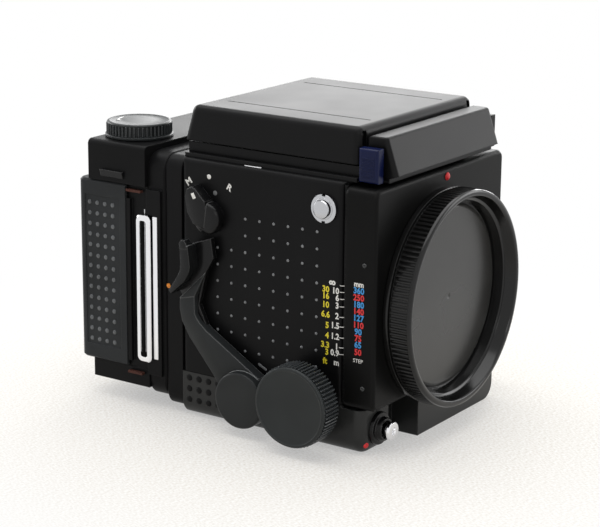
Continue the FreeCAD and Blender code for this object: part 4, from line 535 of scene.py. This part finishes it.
def bar_shape(tree):
    """A round-backed bar that lies along X."""
    rod = add_node(tree, "GeometryNodeMeshCylinder", Vertices=8, Radius=0.5, Depth=1.0)
    lay = tree.nodes.new("GeometryNodeTransform")
    lay.inputs["Rotation"].default_value = (0, math.pi / 2, 0)
    tree.links.new(rod.outputs["Mesh"], lay.inputs["Geometry"])
    return lay.outputs["Geometry"]


def screw_shape(tree):
    """A screw head with a crossed recess."""
    head = add_node(tree, "GeometryNodeMeshCylinder", Vertices=20, Radius=1.0, Depth=2.0)
    cross = tree.nodes.new("GeometryNodeMeshBoolean")
    cross.operation = "DIFFERENCE"
    tree.links.new(head.outputs["Mesh"], cross.inputs["Mesh 1"])
    for size in ((1.3, 0.26, 1.2), (0.26, 1.3, 1.2)):
        arm = add_node(tree, "GeometryNodeMeshCube", Size=size)
        lift = add_node(tree, "GeometryNodeTransform", Translation=(0, 0, 1))
        tree.links.new(arm.outputs["Mesh"], lift.inputs["Geometry"])
        tree.links.new(lift.outputs["Geometry"], cross.inputs["Mesh 2"])
    return cross.outputs["Mesh"]


def spot_tree(name, shape):
    """Sets one small shape on every point that it is given."""
    tree, start = tree_start(name, (("Points", "NodeSocketGeometry"), ("Size", "NodeSocketVector"),
                                    ("Finish", "NodeSocketMaterial")))
    spots = tree.nodes.new("GeometryNodeInstanceOnPoints")
    tree.links.new(start.outputs["Points"], spots.inputs["Points"])
    tree.links.new(shape(tree), spots.inputs["Instance"])
    tree.links.new(start.outputs["Size"], spots.inputs["Scale"])
    tree_end(tree, start, spots)
    return tree


def ring_tree():
    """Ribs that stand evenly round a rim, each along Z."""
    tree, start = tree_start("grip_ribs", (("Points", "NodeSocketGeometry"), ("Count", "NodeSocketInt"),
                                           ("Radius", "NodeSocketFloat"), ("Size", "NodeSocketVector"),
                                           ("Finish", "NodeSocketMaterial")))
    ring = tree.nodes.new("GeometryNodeMeshCircle")
    tree.links.new(start.outputs["Count"], ring.inputs["Vertices"])
    tree.links.new(start.outputs["Radius"], ring.inputs["Radius"])
    share = add_node(tree, "ShaderNodeMath", operation="DIVIDE")
    share.inputs[0].default_value = 2 * math.pi
    tree.links.new(start.outputs["Count"], share.inputs[1])
    index = tree.nodes.new("GeometryNodeInputIndex")
    turn = tree.nodes.new("ShaderNodeCombineXYZ")
    tree.links.new(reckoned(tree, "MULTIPLY", index.outputs["Index"], share.outputs["Value"]),
                   turn.inputs["Z"])
    rotation = tree.nodes.new("FunctionNodeEulerToRotation")
    tree.links.new(turn.outputs["Vector"], rotation.inputs["Euler"])
    rib = add_node(tree, "GeometryNodeMeshCylinder", Vertices=8, Radius=1.0, Depth=1.0)
    spots = tree.nodes.new("GeometryNodeInstanceOnPoints")
    tree.links.new(ring.outputs["Mesh"], spots.inputs["Points"])
    tree.links.new(rib.outputs["Mesh"], spots.inputs["Instance"])
    tree.links.new(rotation.outputs["Rotation"], spots.inputs["Rotation"])
    tree.links.new(start.outputs["Size"], spots.inputs["Scale"])
    tree_end(tree, start, spots)
    return tree


TREES = {
    "stud": spot_tree("studs", stud_shape),
    "bar": spot_tree("bars", bar_shape),
    "screw": spot_tree("screws", screw_shape),
    "ribs": ring_tree(),
}


def grown(kind, finish, size, points=((0, 0, 0),), count=0, radius=0.0):
    """The plain mesh that a tree makes, from sizes and places in millimetres."""
    mesh = bpy.data.meshes.new("points")
    mesh.from_pydata([Vector(point) / 1000 for point in points], [], [])
    holder = held("points", mesh)
    maker = holder.modifiers.new("maker", "NODES")
    maker.node_group = TREES[kind]
    values = {"Size": [value / 1000 for value in size], "Finish": FINISH[finish],
              "Count": count, "Radius": radius / 1000}
    for socket in TREES[kind].interface.items_tree:
        if socket.in_out == "INPUT" and socket.name in values:
            maker[socket.identifier] = values[socket.name]
    return made_mesh(holder)


def rim_ribs(name, place, size, count, radius, middle, body, node,
             finish="grip_rib"):
    """Grip ribs round a rim; middle is the height of their middle above the place."""
    # The ribs default to a finish painted paler than the knob: painted light on their crests
    ribs = grown("ribs", finish, size, count=count, radius=radius)
    piece(name, [(ribs, place @ shifted(0, 0, middle))], finish, body, [node])


# Body cap

def cap():
    """The dished cap: smooth lip, ribbed grip, thin flange, and a disc sunk behind a step."""
    place = facing(FRONT, 0, 0, LENS_AXIS)
    dish = [(2.0, 0), (2.0, 38.6), (2.7, 39.0), (2.7, 40.0), (3.4, 40.3), (7.6, 40.9), (7.9, 41.3),
            (8.1, 42.0), (8.4, 42.2), (12.1, 42.9), (12.7, 43.3), (12.95, 43.9), (13.0, 44.5),
            (12.9, 45.2), (12.6, 45.7), (12.1, 45.95), (11.5, 46.0), (11.3, 45.6), (11.2, 45.25),
            (3.6, 45.25), (3.3, 44.7), (2.7, 44.6), (2.5, 45.3), (2.3, 45.7), (1.0, 45.9),
            (0.3, 45.9), (0.3, 38.0), (2.0, 38.0), (2.0, 30.4), (-3.9, 30.4), (-3.9, 28.4),
            (2.0, 28.4), (2.0, 0)]
    piece("cap_dish", [(turned(dish, 160), place)], "cap_plastic", "cap", ["body_cap"])
    # The ribs in a slightly paler copy of the cap plastic: painted light on their crests
    rim_ribs("cap_ribs", place, (0.75, 0.68, 7.7), 131, 45.25, 7.5, "cap", "body_cap", "cap_rib")
    disc = [(1.9, 0), (1.9, 39.0), (2.7, 39.2), (3.5, 38.7), (3.95, 38.1), (4.1, 37.2), (4.1, 37.0),
            (4.1, 36.8), (4.1, 25.0), (4.1, 13.0), (4.1, 1.9), (4.1, 1.7), (4.1, 1.4), (3.8, 0.9),
            (3.8, 0)]
    # The sunk disc in a much paler copy of the cap plastic: painted light on the face that looks forward
    piece("cap_disc", [(turned(disc, 160), place)], "cap_face", "cap", ["body_cap"])


# Knobs and dial

def focus_knobs():
    """The two focusing knobs: a face sunk inside a thin rim, and a ribbed skirt."""
    profile = [(0, 0), (0, 15.4), (0.5, 16.4), (9.4, 16.5), (9.7, 16.9), (10.2, 17.0), (10.7, 16.7),
               (10.95, 16.2), (10.95, 15.8), (10.7, 15.5), (10.6, 15.0), (10.6, 0)]
    for side, word, sign in SIDES:
        place = facing(side, sign * 56.8, 30, 21.5)
        node = f"{word}_focus_knob"
        piece(f"{word}_knob_shell", [(turned(profile), place)], "knob_plastic", "focus_drive",
              [node])
        rim_ribs(f"{word}_knob_ribs", place, (0.75, 0.5, 8.9), 64, 16.6, 4.9, "focus_drive", node)


def wind_knob():
    """The film winding knob on its base ring, with a curved mark for the way it turns."""
    place = facing(TOP, -33, 133.6, HOLDER_TOP + 0.2)
    profile = [(-23.7, 0), (-23.7, 3), (0, 3), (0, 14.5), (0.25, 14.8), (1.1, 14.8), (1.4, 14.4),
               (1.5, 13.5), (5.7, 13.5), (5.8, 14.0), (6.1, 14.1), (6.5, 13.9), (6.75, 13.3),
               (6.75, 12.7), (6.6, 12.3), (6.75, 7), (6.8, 0)]
    piece("wind_knob_shell", [(turned(profile), place)], "knob_plastic", "winder",
          ["wind_knob"])
    rim_ribs("wind_knob_ribs", place, (0.85, 0.55, 4.3), 48, 13.5, 3.6, "winder", "wind_knob")
    arc = [polar(9.4, angle) for angle in range(88, 133, 4)]
    arc += [polar(8.5, angle) for angle in range(132, 87, -4)]
    head = [polar(8.95, 141), polar(7.9, 131), polar(10.0, 131)]
    piece("wind_mark", [(plate(outline, 6.6, 6.84, 0.02), place) for outline in (arc, head)],
          "print_white", "winder")


def speed_dial():
    """The shutter speed dial on the left side, with its numbers and index."""
    place = facing(FAR, SIDE + 0.2, 66, 88)
    profile = [(-6.7, 0), (-6.7, 3.6), (0.2, 3.6), (0.2, 13.3), (0.5, 13.8), (2.1, 13.8), (2.3, 13.5),
               (6.0, 13.5), (6.1, 13.9), (6.4, 13.8), (6.7, 13.2), (6.8, 12.6), (6.6, 7.4), (6.6, 0)]
    piece("speed_dial_shell", [(turned(profile), place)], "knob_plastic", "dial",
          ["speed_dial"])
    rim_ribs("speed_dial_ribs", place, (0.9, 0.5, 3.6), 60, 13.6, 4.1, "dial", "speed_dial")
    speeds = ("400", "250", "125", "60", "30", "15", "8", "4", "2", "1")
    click, middle = 27, (len(speeds) - 1) / 2
    marks = [(lettering(speed, 1.9), place @ spun(click * (middle - index)) @ shifted(0, 10.3, 6.76))
             for index, speed in enumerate(speeds)]
    piece("speed_numbers", marks, "print_white", "dial")
    spot = grown("stud", "print_white", (0.9, 0.9, 0.12))
    piece("speed_index", [(spot, facing(FAR, SIDE, 66, 105.5))], "print_white", "camera")


# Bellows

def bellows():
    """Pleated cloth between the body and the sliding standard."""
    folds, rear, front, middle, thick = 8, 16.2, 4.2, 66.4, 0.5
    half_wide, half_tall, corner, crest, valley = 41.2, 42.2, 5.5, 0.3, 4.8
    outer, inner = [], []
    for index in range(2 * folds + 1):
        y = rear + (front - rear) * index / (2 * folds)
        inset = crest if index % 2 else valley
        for rings, wall in ((outer, 0.0), (inner, thick)):
            outline = rounded_outline(half_wide - inset - wall, half_tall - inset - wall,
                                      corner - inset / 2, 5)
            rings.append([(x, y + FRONT_FACE, middle + z) for x, z in outline])
    cloth = piece("bellows_folds", [(skinned(outer + inner[::-1], closed=True), Matrix.Identity(4))],
                  "bellows_cloth", None, ["bellows"])
    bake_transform(cloth)


# Nubs and bumps

def across(side, y):
    """Where a place along the camera falls on a side's own X."""
    return -y if side == NEAR else y


def open_spots(side, spots, clear):
    """The (y, z) spots on a side that lie outside every (y, z, radius) that is kept clear."""
    return [(across(side, y), z, 0) for y, z in spots
            if all(math.hypot(y - middle, z - height) > radius for middle, height, radius in clear)]


def nub_fields():
    """Small nubs on the side covers, bumps on the base, and the door's two fields."""
    nub_pitch, bump_pitch, row_pitch, door_pitch, door_row = 7.14, 5.1, 4.9, 4.27, 4.77
    levers_and_dial = {NEAR: ((82, 90.2, 7.6),),
                       FAR: ((66, 88, 15.6), (57, 30, 7.4), (66, 30, 7.0), (36, 60, 6.0),
                             (36, 80, 15.5), (36, 90, 11))}
    battery_cover = {NEAR: (), FAR: ((84.0, 11.4, 9.2),)}
    for side, word, sign in SIDES:
        place = facing(side, sign * SIDE, 0, 0)
        spots = [(28.9 + column * nub_pitch, 91.8 - row * nub_pitch)
                 for row in range(9) for column in range(8) if row > 1 or column < 6]
        # The nubs are painted paler than the cover they stand on: painted highlights
        nubs = grown("stud", "nub_plastic", (0.66, 0.66, 0.45),
                     open_spots(side, spots, levers_and_dial[side]))
        piece(f"{word}_nubs", [(nubs, place)], "nub_plastic", "camera")
        spots = [(94.2 - bump_pitch * column, 17.3 - row_pitch * row)
                 for row in range(3) for column in range(11)]
        bumps = grown("stud", "body_shell", (1.55, 1.45, 0.55),
                      open_spots(side, spots, battery_cover[side]))
        piece(f"{word}_base_bumps", [(bumps, place)], "body_shell", "camera")
    field = [(-147.0 + door_pitch * column, 26.0 + door_row * row, 0)
             for column in range(4) for row in range(14)]
    # The door's nubs are painted paler than the door: painted highlights
    nubs = grown("stud", "door_nub", (1.0, 1.05, 0.5), field)
    piece("door_side_nubs", [(nubs, facing(NEAR, -OUTER_SIDE, 0, 0))], "door_nub", "door")
    rear = [(-33.4 + door_row * column, 32.6 + door_row * row, 0)
            for column in range(15) for row in range(11) if column < 3 or column > 11]
    nubs = grown("stud", "door_nub", (1.0, 1.0, 0.5), rear)
    piece("door_rear_nubs", [(nubs, facing(REAR, 0, DOOR_BACK, 0))], "door_nub", "door")


def note_frame():
    """The holder for a film carton's flap on the door's back: three rails and a sprung leaf."""
    place = facing(REAR, 0, DOOR_BACK, 57.65)
    half_wide, half_tall, half_rail = 20.5, 24.0, 1.1
    rails = [(sign * (half_wide - half_rail), 0, half_rail, half_tall) for sign in (-1, 1)]
    rails.append((0, half_rail - half_tall, half_wide - 2 * half_rail, half_rail))
    parts = [(plate(rounded_outline(wide, tall, 0.4, 2, (x, y)), -0.1, 0.55, 0.12), place)
             for x, y, wide, tall in rails]
    piece("note_frame_rails", parts, "steel", "door")
    outline = rounded_outline(half_wide - 2 * half_rail + 0.4, half_tall - 0.6, 0.5, 2, (0, 0.3))
    piece("note_spring_leaf", [(plate(outline, -0.1, 0.18, 0.05), place)], "lever_lacquer", "door")


# Scales and marks

def column_of(rows, x, finish, name, body):
    """A column of numbers on the near side; rows are (words, y, z)."""
    parts = [(lettering(words, 2.5), facing(NEAR, x, y, z)) for words, y, z in rows]
    piece(name, parts, finish, body)


def scales():
    """The distance scale on the right cover and the focal lengths on the standard."""
    feet = (("30", 68.5), ("16", 65.7), ("10", 62.0), ("6.6", 57.9), ("5", 53.4), ("4", 49.1),
            ("3.3", 45.0), ("3", 42.0), ("ft", 38.1))
    metres = (("10", 68.5), ("6", 65.6), ("3", 62.4), ("2", 58.0), ("1.5", 53.9), ("1.2", 49.3),
              ("1", 45.1), ("0.9", 42.3), ("m", 38.3))
    cover, digit_wide = -SIDE - PRINT, 1.75
    for rows, edge, finish, name in ((feet, 22.7, "print_yellow", "feet_numbers"),
                                     (metres, 18.0, "print_white", "metre_numbers")):
        column_of([(words, edge + digit_wide * len(words.replace(".", "")) / 2, z) for words, z in rows],
                  cover, finish, name, "camera")
    # An eight on its side is the sign for infinity
    endless = 71.2
    lines = [(lettering("8", 2.9), facing(NEAR, cover, 21.2, endless + 0.5, 90))]
    curve = [(step * 0.5, 0.012 * step * step) for step in range(7)]
    line = plate(curve + [(x, y + 0.3) for x, y in reversed(curve)], 0.0, 0.05, 0.01)
    lines += [(line, facing(NEAR, -SIDE, 17.7, z - 0.25))
              for z in (endless, *(z for words, z in metres[:-1]))]
    piece("distance_lines", lines, "print_white", "camera")
    focal = (("360", 70.8), ("250", 67.9), ("180", 65.0), ("140", 62.2), ("127", 59.4), ("110", 56.5),
             ("90", 53.7), ("75", 50.9), ("65", 48.2), ("50", 45.1))
    face = -OUTER_SIDE - PRINT
    for first, colour in ((0, "blue"), (1, "red")):
        column_of([(words, 7.7, z) for words, z in focal[first::2]], face, f"print_{colour}",
                  f"focal_numbers_{colour}", "standard")
    piece("focal_words", [(lettering("mm", 2.2), facing(NEAR, face, 7.7, 73.5)),
                          (lettering("STEP", 1.6, 1.0, 0.0), facing(NEAR, face, 7.6, 41.5))],
          "print_white", "standard")


def marks():
    """Dots and marks by the levers, the mount and the film back."""
    cover = -SIDE - PRINT
    dot = grown("stud", "print_white", (1.05, 1.05, 0.1))
    piece("mode_marks", [(lettering("M", 2.6, 1.1, 0.05), facing(NEAR, cover, 93.7, 103.8, 38)),
                         (lettering("R", 2.6, 1.1, 0.05), facing(NEAR, cover, 72.8, 103.9, -30)),
                         (dot, facing(NEAR, -SIDE, 83.2, 107.2))], "print_white", "camera")
    piece("mode_stop_dot", [(dot, facing(NEAR, -SIDE, 80.1, 100.7))], "print_grey", "camera")
    index = plate(rounded_outline(0.8, 1.25, 0.15, 2), -0.3, 0.05, 0.03)
    piece("mode_index", [(index, facing(NEAR, -55.7, 87.1, 99.6, 28))], "print_white", "mode")
    bead = [(-0.5, 0), (-0.5, 1.35), (0.2, 1.3), (0.55, 0.95), (0.7, 0.4), (0.72, 0)]
    for name, tall, wide, place, finish, body in (
            ("lens_index", 1.3, 1.3, facing(FRONT, 3.2, 0, 108.9), "print_red", "standard"),
            ("release_index", 1.0, 1.0, facing(NOSE, -46.2, 6.4, 4.3), "print_red", "camera"),
            ("back_index", 0.7, 0.8, facing(NEAR, -SIDE, 105.0, 56.6), "print_orange", "camera")):
        profile = [(height * tall, radius * wide) for height, radius in bead]
        piece(name, [(turned(profile, 24), place)], finish, body)
    # A grey bar painted where the highlight of a lever edge shows beside the knob
    bar = plate(rounded_outline(2.4, 0.5, 0.3, 2), -0.2, 0.35, 0.15)
    piece("lever_edge_glint_bar", [(bar, facing(NEAR, -SIDE, 55.6, 29.5, -26))], "print_grey", "camera")


# Screws, lugs and buttons

def screws():
    """Crossed screws on the standard, the left cover, the mount and the note panel."""
    def heads(name, radius, body, spots, finish="lever_lacquer"):
        head = grown("screw", finish, (radius, radius, 0.45))
        piece(name, [(head, facing(*spot)) for spot in spots], finish, body)

    heads("standard_screws", 0.9, "standard",
          [(side, sign * (OUTER_SIDE - 0.2), 5.2, z) for side, word, sign in SIDES for z in (81.7, 30.2)])
    heads("left_cover_screws", 1.5, "camera",
          [(FAR, SIDE - 0.2, y, z) for y in (22, 92) for z in (26, 108)])
    ring = [polar(34.4, angle) for angle in range(30, 390, 60)]
    heads("mount_screws", 1.3, "standard", [(FRONT, x, -1.5, LENS_AXIS + z) for x, z in ring], "steel")
    heads("note_panel_screws", 1.1, "door",
          [(REAR, x, DOOR_BACK + 0.1, z) for x in (-17, 17) for z in (36.5, 78.8)])


def strap_lugs():
    """A notched chrome washer and a domed post at each side."""
    ring_radius, notch_half, notch_deep, arc_steps = 6.0, 0.75, 0.85, 30
    notch_angle = math.degrees(math.asin(notch_half / ring_radius))
    sweep = 180 - 2 * notch_angle
    outline = []
    for first, sign in ((-90, 1), (90, -1)):
        outline += [polar(ring_radius, first + notch_angle + step * sweep / arc_steps)
                    for step in range(arc_steps + 1)]
        outline += [(sign * notch_half, sign * (ring_radius - notch_deep)),
                    (-sign * notch_half, sign * (ring_radius - notch_deep))]
    post = [(1.1, 0), (1.1, 4.4), (1.5, 4.4), (1.7, 3.9), (1.7, 2.6), (2.4, 2.6), (2.5, 3.6),
            (2.9, 3.85), (3.4, 3.6), (3.9, 2.7), (4.2, 1.4), (4.3, 0)]
    parts = [(mesh, facing(side, sign * SIDE, 25.3, 102)) for side, word, sign in SIDES
             for mesh in (plate(outline, 0, 1.3, 0.25), turned(post, 48))]
    piece("strap_lug_posts", parts, "lug_chrome", "camera", ["strap_lugs"])


def finder_button_ribs():
    """Fine finger ribs on the two finder buttons; the near one is blue, the far one black."""
    rib_pitch = 0.95
    looks = {"right": ("button_blue", "blue_plastic"), "left": ("hood_paint", "black_plastic")}
    for side, word, sign in SIDES:
        finish, slot = looks[word]
        ribs = grown("bar", finish, (6.0, 0.5, 0.5),
                     [(across(side, 6.7), 116.6 + rib_pitch * row, 0) for row in range(9)])
        piece(f"{word}_button_ribs", [(ribs, facing(side, sign * 47.8, 0, 0))], finish,
              f"{word}_button")


def frame_counter():
    """The round exposure counter on top of the film holder."""
    place = facing(TOP, 24, 134, HOLDER_TOP)
    bezel = [(-0.3, 5.2), (-0.3, 6.4), (0.5, 6.4), (0.8, 6.1), (0.8, 5.6), (0.3, 5.2)]
    rings = [[(*polar(radius, angle), height) for angle in range(0, 360, 8)] for height, radius in bezel]
    piece("counter_bezel", [(skinned(rings, closed=True), place)], "chrome", "film_back")
    dial = [(-0.1, 0), (-0.1, 5.2), (0.1, 5.2), (0.12, 0)]
    piece("counter_disc", [(turned(dial, 40), place)], "inner_black", "film_back")
    numbers = [(lettering(str(index + 1), 1.7), place @ spun(-60 * index) @ shifted(0, 3.2, 0.16))
               for index in range(6)]
    piece("counter_numbers", numbers, "print_white", "film_back")


def slide_handle():
    """The dark slide's bright loop round the sheet's edge, and the strip on the adapter beside it."""
    place = facing(NEAR, -50.5, 116.5, 53.6)
    outer = rounded_outline(3.85, 32.8, 2.3, 8)
    inner = rounded_outline(2.2, 30.9, 1.1, 8)

    def moved(outline, step):
        return [(x - math.copysign(step, x), y - math.copysign(step, y)) for x, y in outline]

    rings = [[(x, y, height) for x, y in outline]
             for outline, height in ((inner, 0.8), (outer, 0.8), (outer, 2.1), (moved(outer, 0.45), 2.55),
                                     (moved(inner, -0.45), 2.55), (inner, 2.1))]
    edge = plate(rounded_outline(0.25, 31.0, 0.1, 2, (1.3, 0)), 0.2, 1.3, 0.1)
    piece("slide_loop", [(skinned(rings, closed=True), place), (edge, place)], "chrome", "slide",
          ["slide_handle"])
    strip = plate(rounded_outline(1.25, 31.85, 0.3, 2), 0, 0.7, 0.3)
    piece("adapter_bright_strip", [(strip, facing(NEAR, -51.1, 110.9, 54.45))], "chrome", "film_back",
          ["adapter_strip"])


def seams():
    """The shadow line over the base, and the round bead between each cover and the standard."""
    line = plate(rounded_outline(40.4, 0.17, 0.1, 2), -0.1, 0.03, 0.01)
    bead = turned([(-45.6, 0), (-45.6, 0.75), (45.6, 0.75), (45.6, 0)], 20)
    for side, word, sign in SIDES:
        piece(f"{word}_base_seam", [(line, facing(side, sign * SIDE, 57.2, 20.1))], "inner_black",
              "camera")
        piece(f"{word}_cover_bead", [(bead, facing(TOP, sign * 49.0, 15.5, 67))], "body_shell",
              "camera")


def release_button():
    """The chrome button with its cable thread and a bright flange, and the black collar behind it."""
    place = facing(FRONT, -38, 0, 9.6)
    button = [(-6.0, 0), (-6.0, 2.6), (0.2, 2.6), (0.3, 3.8), (0.7, 4.1), (1.5, 4.05), (1.9, 3.6),
              (2.0, 1.6), (1.0, 1.2), (0.8, 0)]
    piece("button_shell", [(turned(button, 48), place)], "chrome", "release",
          ["shutter_button"])
    collar = [(-8.8, 0), (-8.8, 6.4), (-7.4, 7.0), (-4.6, 7.0), (-4.1, 6.7), (-3.9, 5.2), (-2.2, 5.0),
              (-1.7, 4.6), (-1.7, 3.9), (-3.5, 3.8), (-3.5, 0)]
    piece("collar_shell", [(turned(collar, 64), place)], "lever_black", "collar",
          ["release_collar"])


def cocking_lever():
    """The cocking lever: a disc and a thick arm, a ramp down to a thin blade, and a thumb flange."""
    place = facing(NEAR, -51.8, 60.8, 16.2)

    def drawn(places, low, high, edge):
        return plate([(-y, z) for y, z in places], low, high, edge)

    arm = drawn([(-7.9, 10.2), (19.4, 26.4), (23.2, 29.6), (25.2, 32.4), (25.4, 40.4), (33.3, 38.4),
                 (33.5, 33.9), (32.3, 28.5), (28.5, 22.2), (15.8, 7.5), (9.8, -0.9), (2.0, -6.0)],
                0, 4.8, 0.7)
    ramp = skinned([[(-29.3, 38.0, 2.6)],
                    [(-25.4, 40.4, 4.7), (-33.3, 38.4, 4.7), (-33.3, 38.4, 0.5), (-25.4, 40.4, 0.5)],
                    [(-21.1, 51.1, 2.5)]])
    disc = turned([(0, 0), (0, 12.2), (7.6, 12.2), (8.1, 12.05), (8.45, 11.7), (8.6, 11.2),
                   (8.6, 11.0), (8.6, 0)])
    blade = drawn([(21, 28), (24.8, 36), (21.0, 51.0), (17.2, 57.5), (18.6, 66.0), (28.2, 62.6),
                   (30.2, 54.1), (35.8, 42.0), (33, 38.2), (28, 28)], 0, 2.4, 0.4)
    thumb = drawn([(26.2, 62.8), (25.1, 53.6), (25.9, 50.6), (28.2, 47.0), (35.3, 40.6), (36.6, 42.2),
                   (32.3, 48.1), (30.6, 51.4), (30.2, 54.1), (30.6, 61.8)], 0.1, 8.3, 0.5)
    crest = drawn([(26.4, 60.8), (26.8, 63.6), (28.0, 65.0), (29.8, 65.0), (30.9, 63.5), (30.7, 60.8)],
                  4.7, 8.5, 0.8)
    # One lever in three shades: the blade and the thumb flange are painted darker than the arm, as
    # painted shade
    for name, meshes, finish in (("lever_arm", (arm, ramp, disc), "lever_lacquer"),
                                 ("lever_blade", (blade,), "lever_black"),
                                 ("lever_thumb", (thumb, crest), "lever_thumb")):
        piece(name, [(mesh, place) for mesh in meshes], finish, "cocking",
              ["cocking_lever"])


def mode_lever():
    """The small lever behind the panel: a domed hub and a short arm."""
    place = facing(NEAR, -SIDE, 82.0, 90.2)
    hub = turned([(0.2, 0), (0.2, 6.8), (3.4, 6.8), (4.3, 6.5), (4.9, 5.8), (5.2, 4.6), (5.3, 3.0),
                  (5.35, 0)], 64)
    arm = plate([(1.0, 4.0), (0.6, 7.6), (-4.7, 12.6), (-6.5, 13.2), (-8.8, 11.9), (-9.8, 8.5),
                 (-8.7, 1.9), (-5.6, -2.8), (0, -4)], 0.2, 5.7, 0.5)
    piece("mode_lever_shell", [(hub, place), (arm, place)], "lever_black", "mode",
          ["mode_lever"])


def lid_grooves():
    """Painted shade in the two long grooves of the lid's top: a dark strip in each."""
    line = plate(rounded_outline(0.34, 35.3, 0.1, 2), -0.1, 0.05, 0.02)
    for side, word, sign in SIDES:
        # A dark strip painted as the shade inside each groove
        piece(f"{word}_groove_shade", [(line, facing(TOP, sign * 28.4, 53.5, 134.83))], "inner_black",
              "lid")


def hood_lock_plate():
    """The small bright plate in the gap under the hood."""
    bar = plate(rounded_outline(0.5, 4.2, 0.15, 2), 0, 0.35, 0.1)
    piece("hood_lock_plate", [(bar, facing(TOP, -47.9, 62, 113.8))], "chrome", "camera")


for add in (cap, lid_grooves, hood_lock_plate, cocking_lever, mode_lever, release_button, slide_handle,
            seams, focus_knobs, wind_knob, speed_dial, bellows, nub_fields, note_frame, scales, marks,
            screws, strap_lugs, finder_button_ribs, frame_counter):
    add()


# Studio

def studio_camera():
    """The photograph's viewpoint."""
    stand, aim = Vector((-0.683274, -0.447735, 0.284937)), Vector((0.79853, 0.54201, -0.26186))
    focal_length, roll = 117.07, 0.49
    lens = bpy.data.cameras.new("view")
    lens.lens = focal_length
    lens.sensor_width = 36
    lens.sensor_fit = "HORIZONTAL"
    lens.clip_start = 0.01
    lens.clip_end = 20
    holder = held("view", lens)
    turn = aim.to_track_quat("-Z", "Y").to_matrix().to_4x4()
    holder.matrix_world = Matrix.Translation(stand) @ turn @ spun(roll)
    bpy.context.scene.camera = holder


def soft_lamp(name, place, target, size, power):
    """A large soft lamp that the camera doesn't see."""
    lamp = bpy.data.lights.new(name, "AREA")
    lamp.shape = "RECTANGLE"
    lamp.size, lamp.size_y = size
    lamp.energy = power
    holder = held(name, lamp)
    holder.visible_camera = False
    turn = (Vector(target) - Vector(place)).to_track_quat("-Z", "Y")
    holder.matrix_world = Matrix.Translation(Vector(place)) @ turn.to_matrix().to_4x4()


def seen_directly(tree):
    """1 for what the camera, a reflection or a view through glass sees, 0 for what only lights."""
    ray = tree.nodes.new("ShaderNodeLightPath")
    socket = ray.outputs["Is Camera Ray"]
    for other in ("Is Glossy Ray", "Is Transmission Ray"):
        socket = reckoned(tree, "MAXIMUM", socket, ray.outputs[other])
    return socket


def shader_mix(tree, factor, first, second, output):
    """Two shaders mixed into a tree's output."""
    mix = tree.nodes.new("ShaderNodeMixShader")
    tree.links.new(factor, mix.inputs["Fac"])
    tree.links.new(first, mix.inputs[1])
    tree.links.new(second, mix.inputs[2])
    tree.links.new(mix.outputs["Shader"], output.inputs["Surface"])


def studio_world():
    """A white backdrop for what looks straight at it, and a plain fill for the rest."""
    world = bpy.data.worlds.new("studio")
    bpy.context.scene.world = world
    world.use_nodes = True
    tree = world.node_tree
    tree.nodes.clear()
    fill = add_node(tree, "ShaderNodeBackground", Color=(1, 1, 1, 1), Strength=0.45)
    backdrop = add_node(tree, "ShaderNodeBackground", Color=(1, 1, 1, 1), Strength=1.0)
    shader_mix(tree, seen_directly(tree), fill.outputs["Background"], backdrop.outputs["Background"],
               tree.nodes.new("ShaderNodeOutputWorld"))


def studio_floor():
    """A pale woven cloth under the camera that turns into the white backdrop further out."""
    reach = 6.0
    mesh = bpy.data.meshes.new("floor")
    mesh.from_pydata([(-reach, -reach, 0), (reach, -reach, 0), (reach, reach, 0), (-reach, reach, 0)],
                     [], [(0, 1, 2, 3)])
    floor = held("floor", mesh)
    tree, shader, place = new_finish("floor_cloth", (243, 242, 239), 0.9, specular=0.1)
    weave = grain(tree, place, 1.6, 1.0, (1, 0.45, 1))
    mottle(tree, shader, weave, srgb(206, 197, 181), srgb(252, 250, 245))
    relief(tree, shader, weave, 0.15)
    distance = add_node(tree, "ShaderNodeVectorMath", operation="LENGTH")
    tree.links.new(place.outputs["Object"], distance.inputs[0])
    fade = ranged(tree, distance.outputs["Value"], 0.08, 0.26, 0.42, 1.0, "SMOOTHSTEP")
    white = add_node(tree, "ShaderNodeEmission", Color=(1, 1, 1, 1), Strength=1.0)
    shader_mix(tree, reckoned(tree, "MULTIPLY", fade, seen_directly(tree)), shader.outputs["BSDF"],
               white.outputs["Emission"], tree.nodes["Material Output"])
    mesh.materials.append(FINISH["floor_cloth"])


# Name, place, target, size in metres and power in watts
LAMPS = (
    ("overhead", (0.1, 0.1, 1.3), (0, 0, 0.05), (1.4, 1.4), 15),
    ("behind", (1.2, 0.55, 0.42), (0, 0, 0.12), (0.85, 0.6), 4.6),
    ("side", (1.1, -0.85, 0.28), (0, 0, 0.08), (0.6, 0.5), 3.2),
    ("left", (1.35, 0.05, 0.4), (0, 0, 0.05), (0.9, 0.5), 8),
    ("rear", (0.1, 1.4, 0.5), (0, 0, 0.05), (1.0, 0.5), 8),
    ("front", (-0.9, -1.1, 0.9), (0, 0, 0.05), (0.4, 0.4), 2.2),
)

studio_camera()
studio_world()
studio_floor()
for lamp in LAMPS:
    soft_lamp(*lamp)

bpy.context.scene.view_settings.view_transform = "Standard"
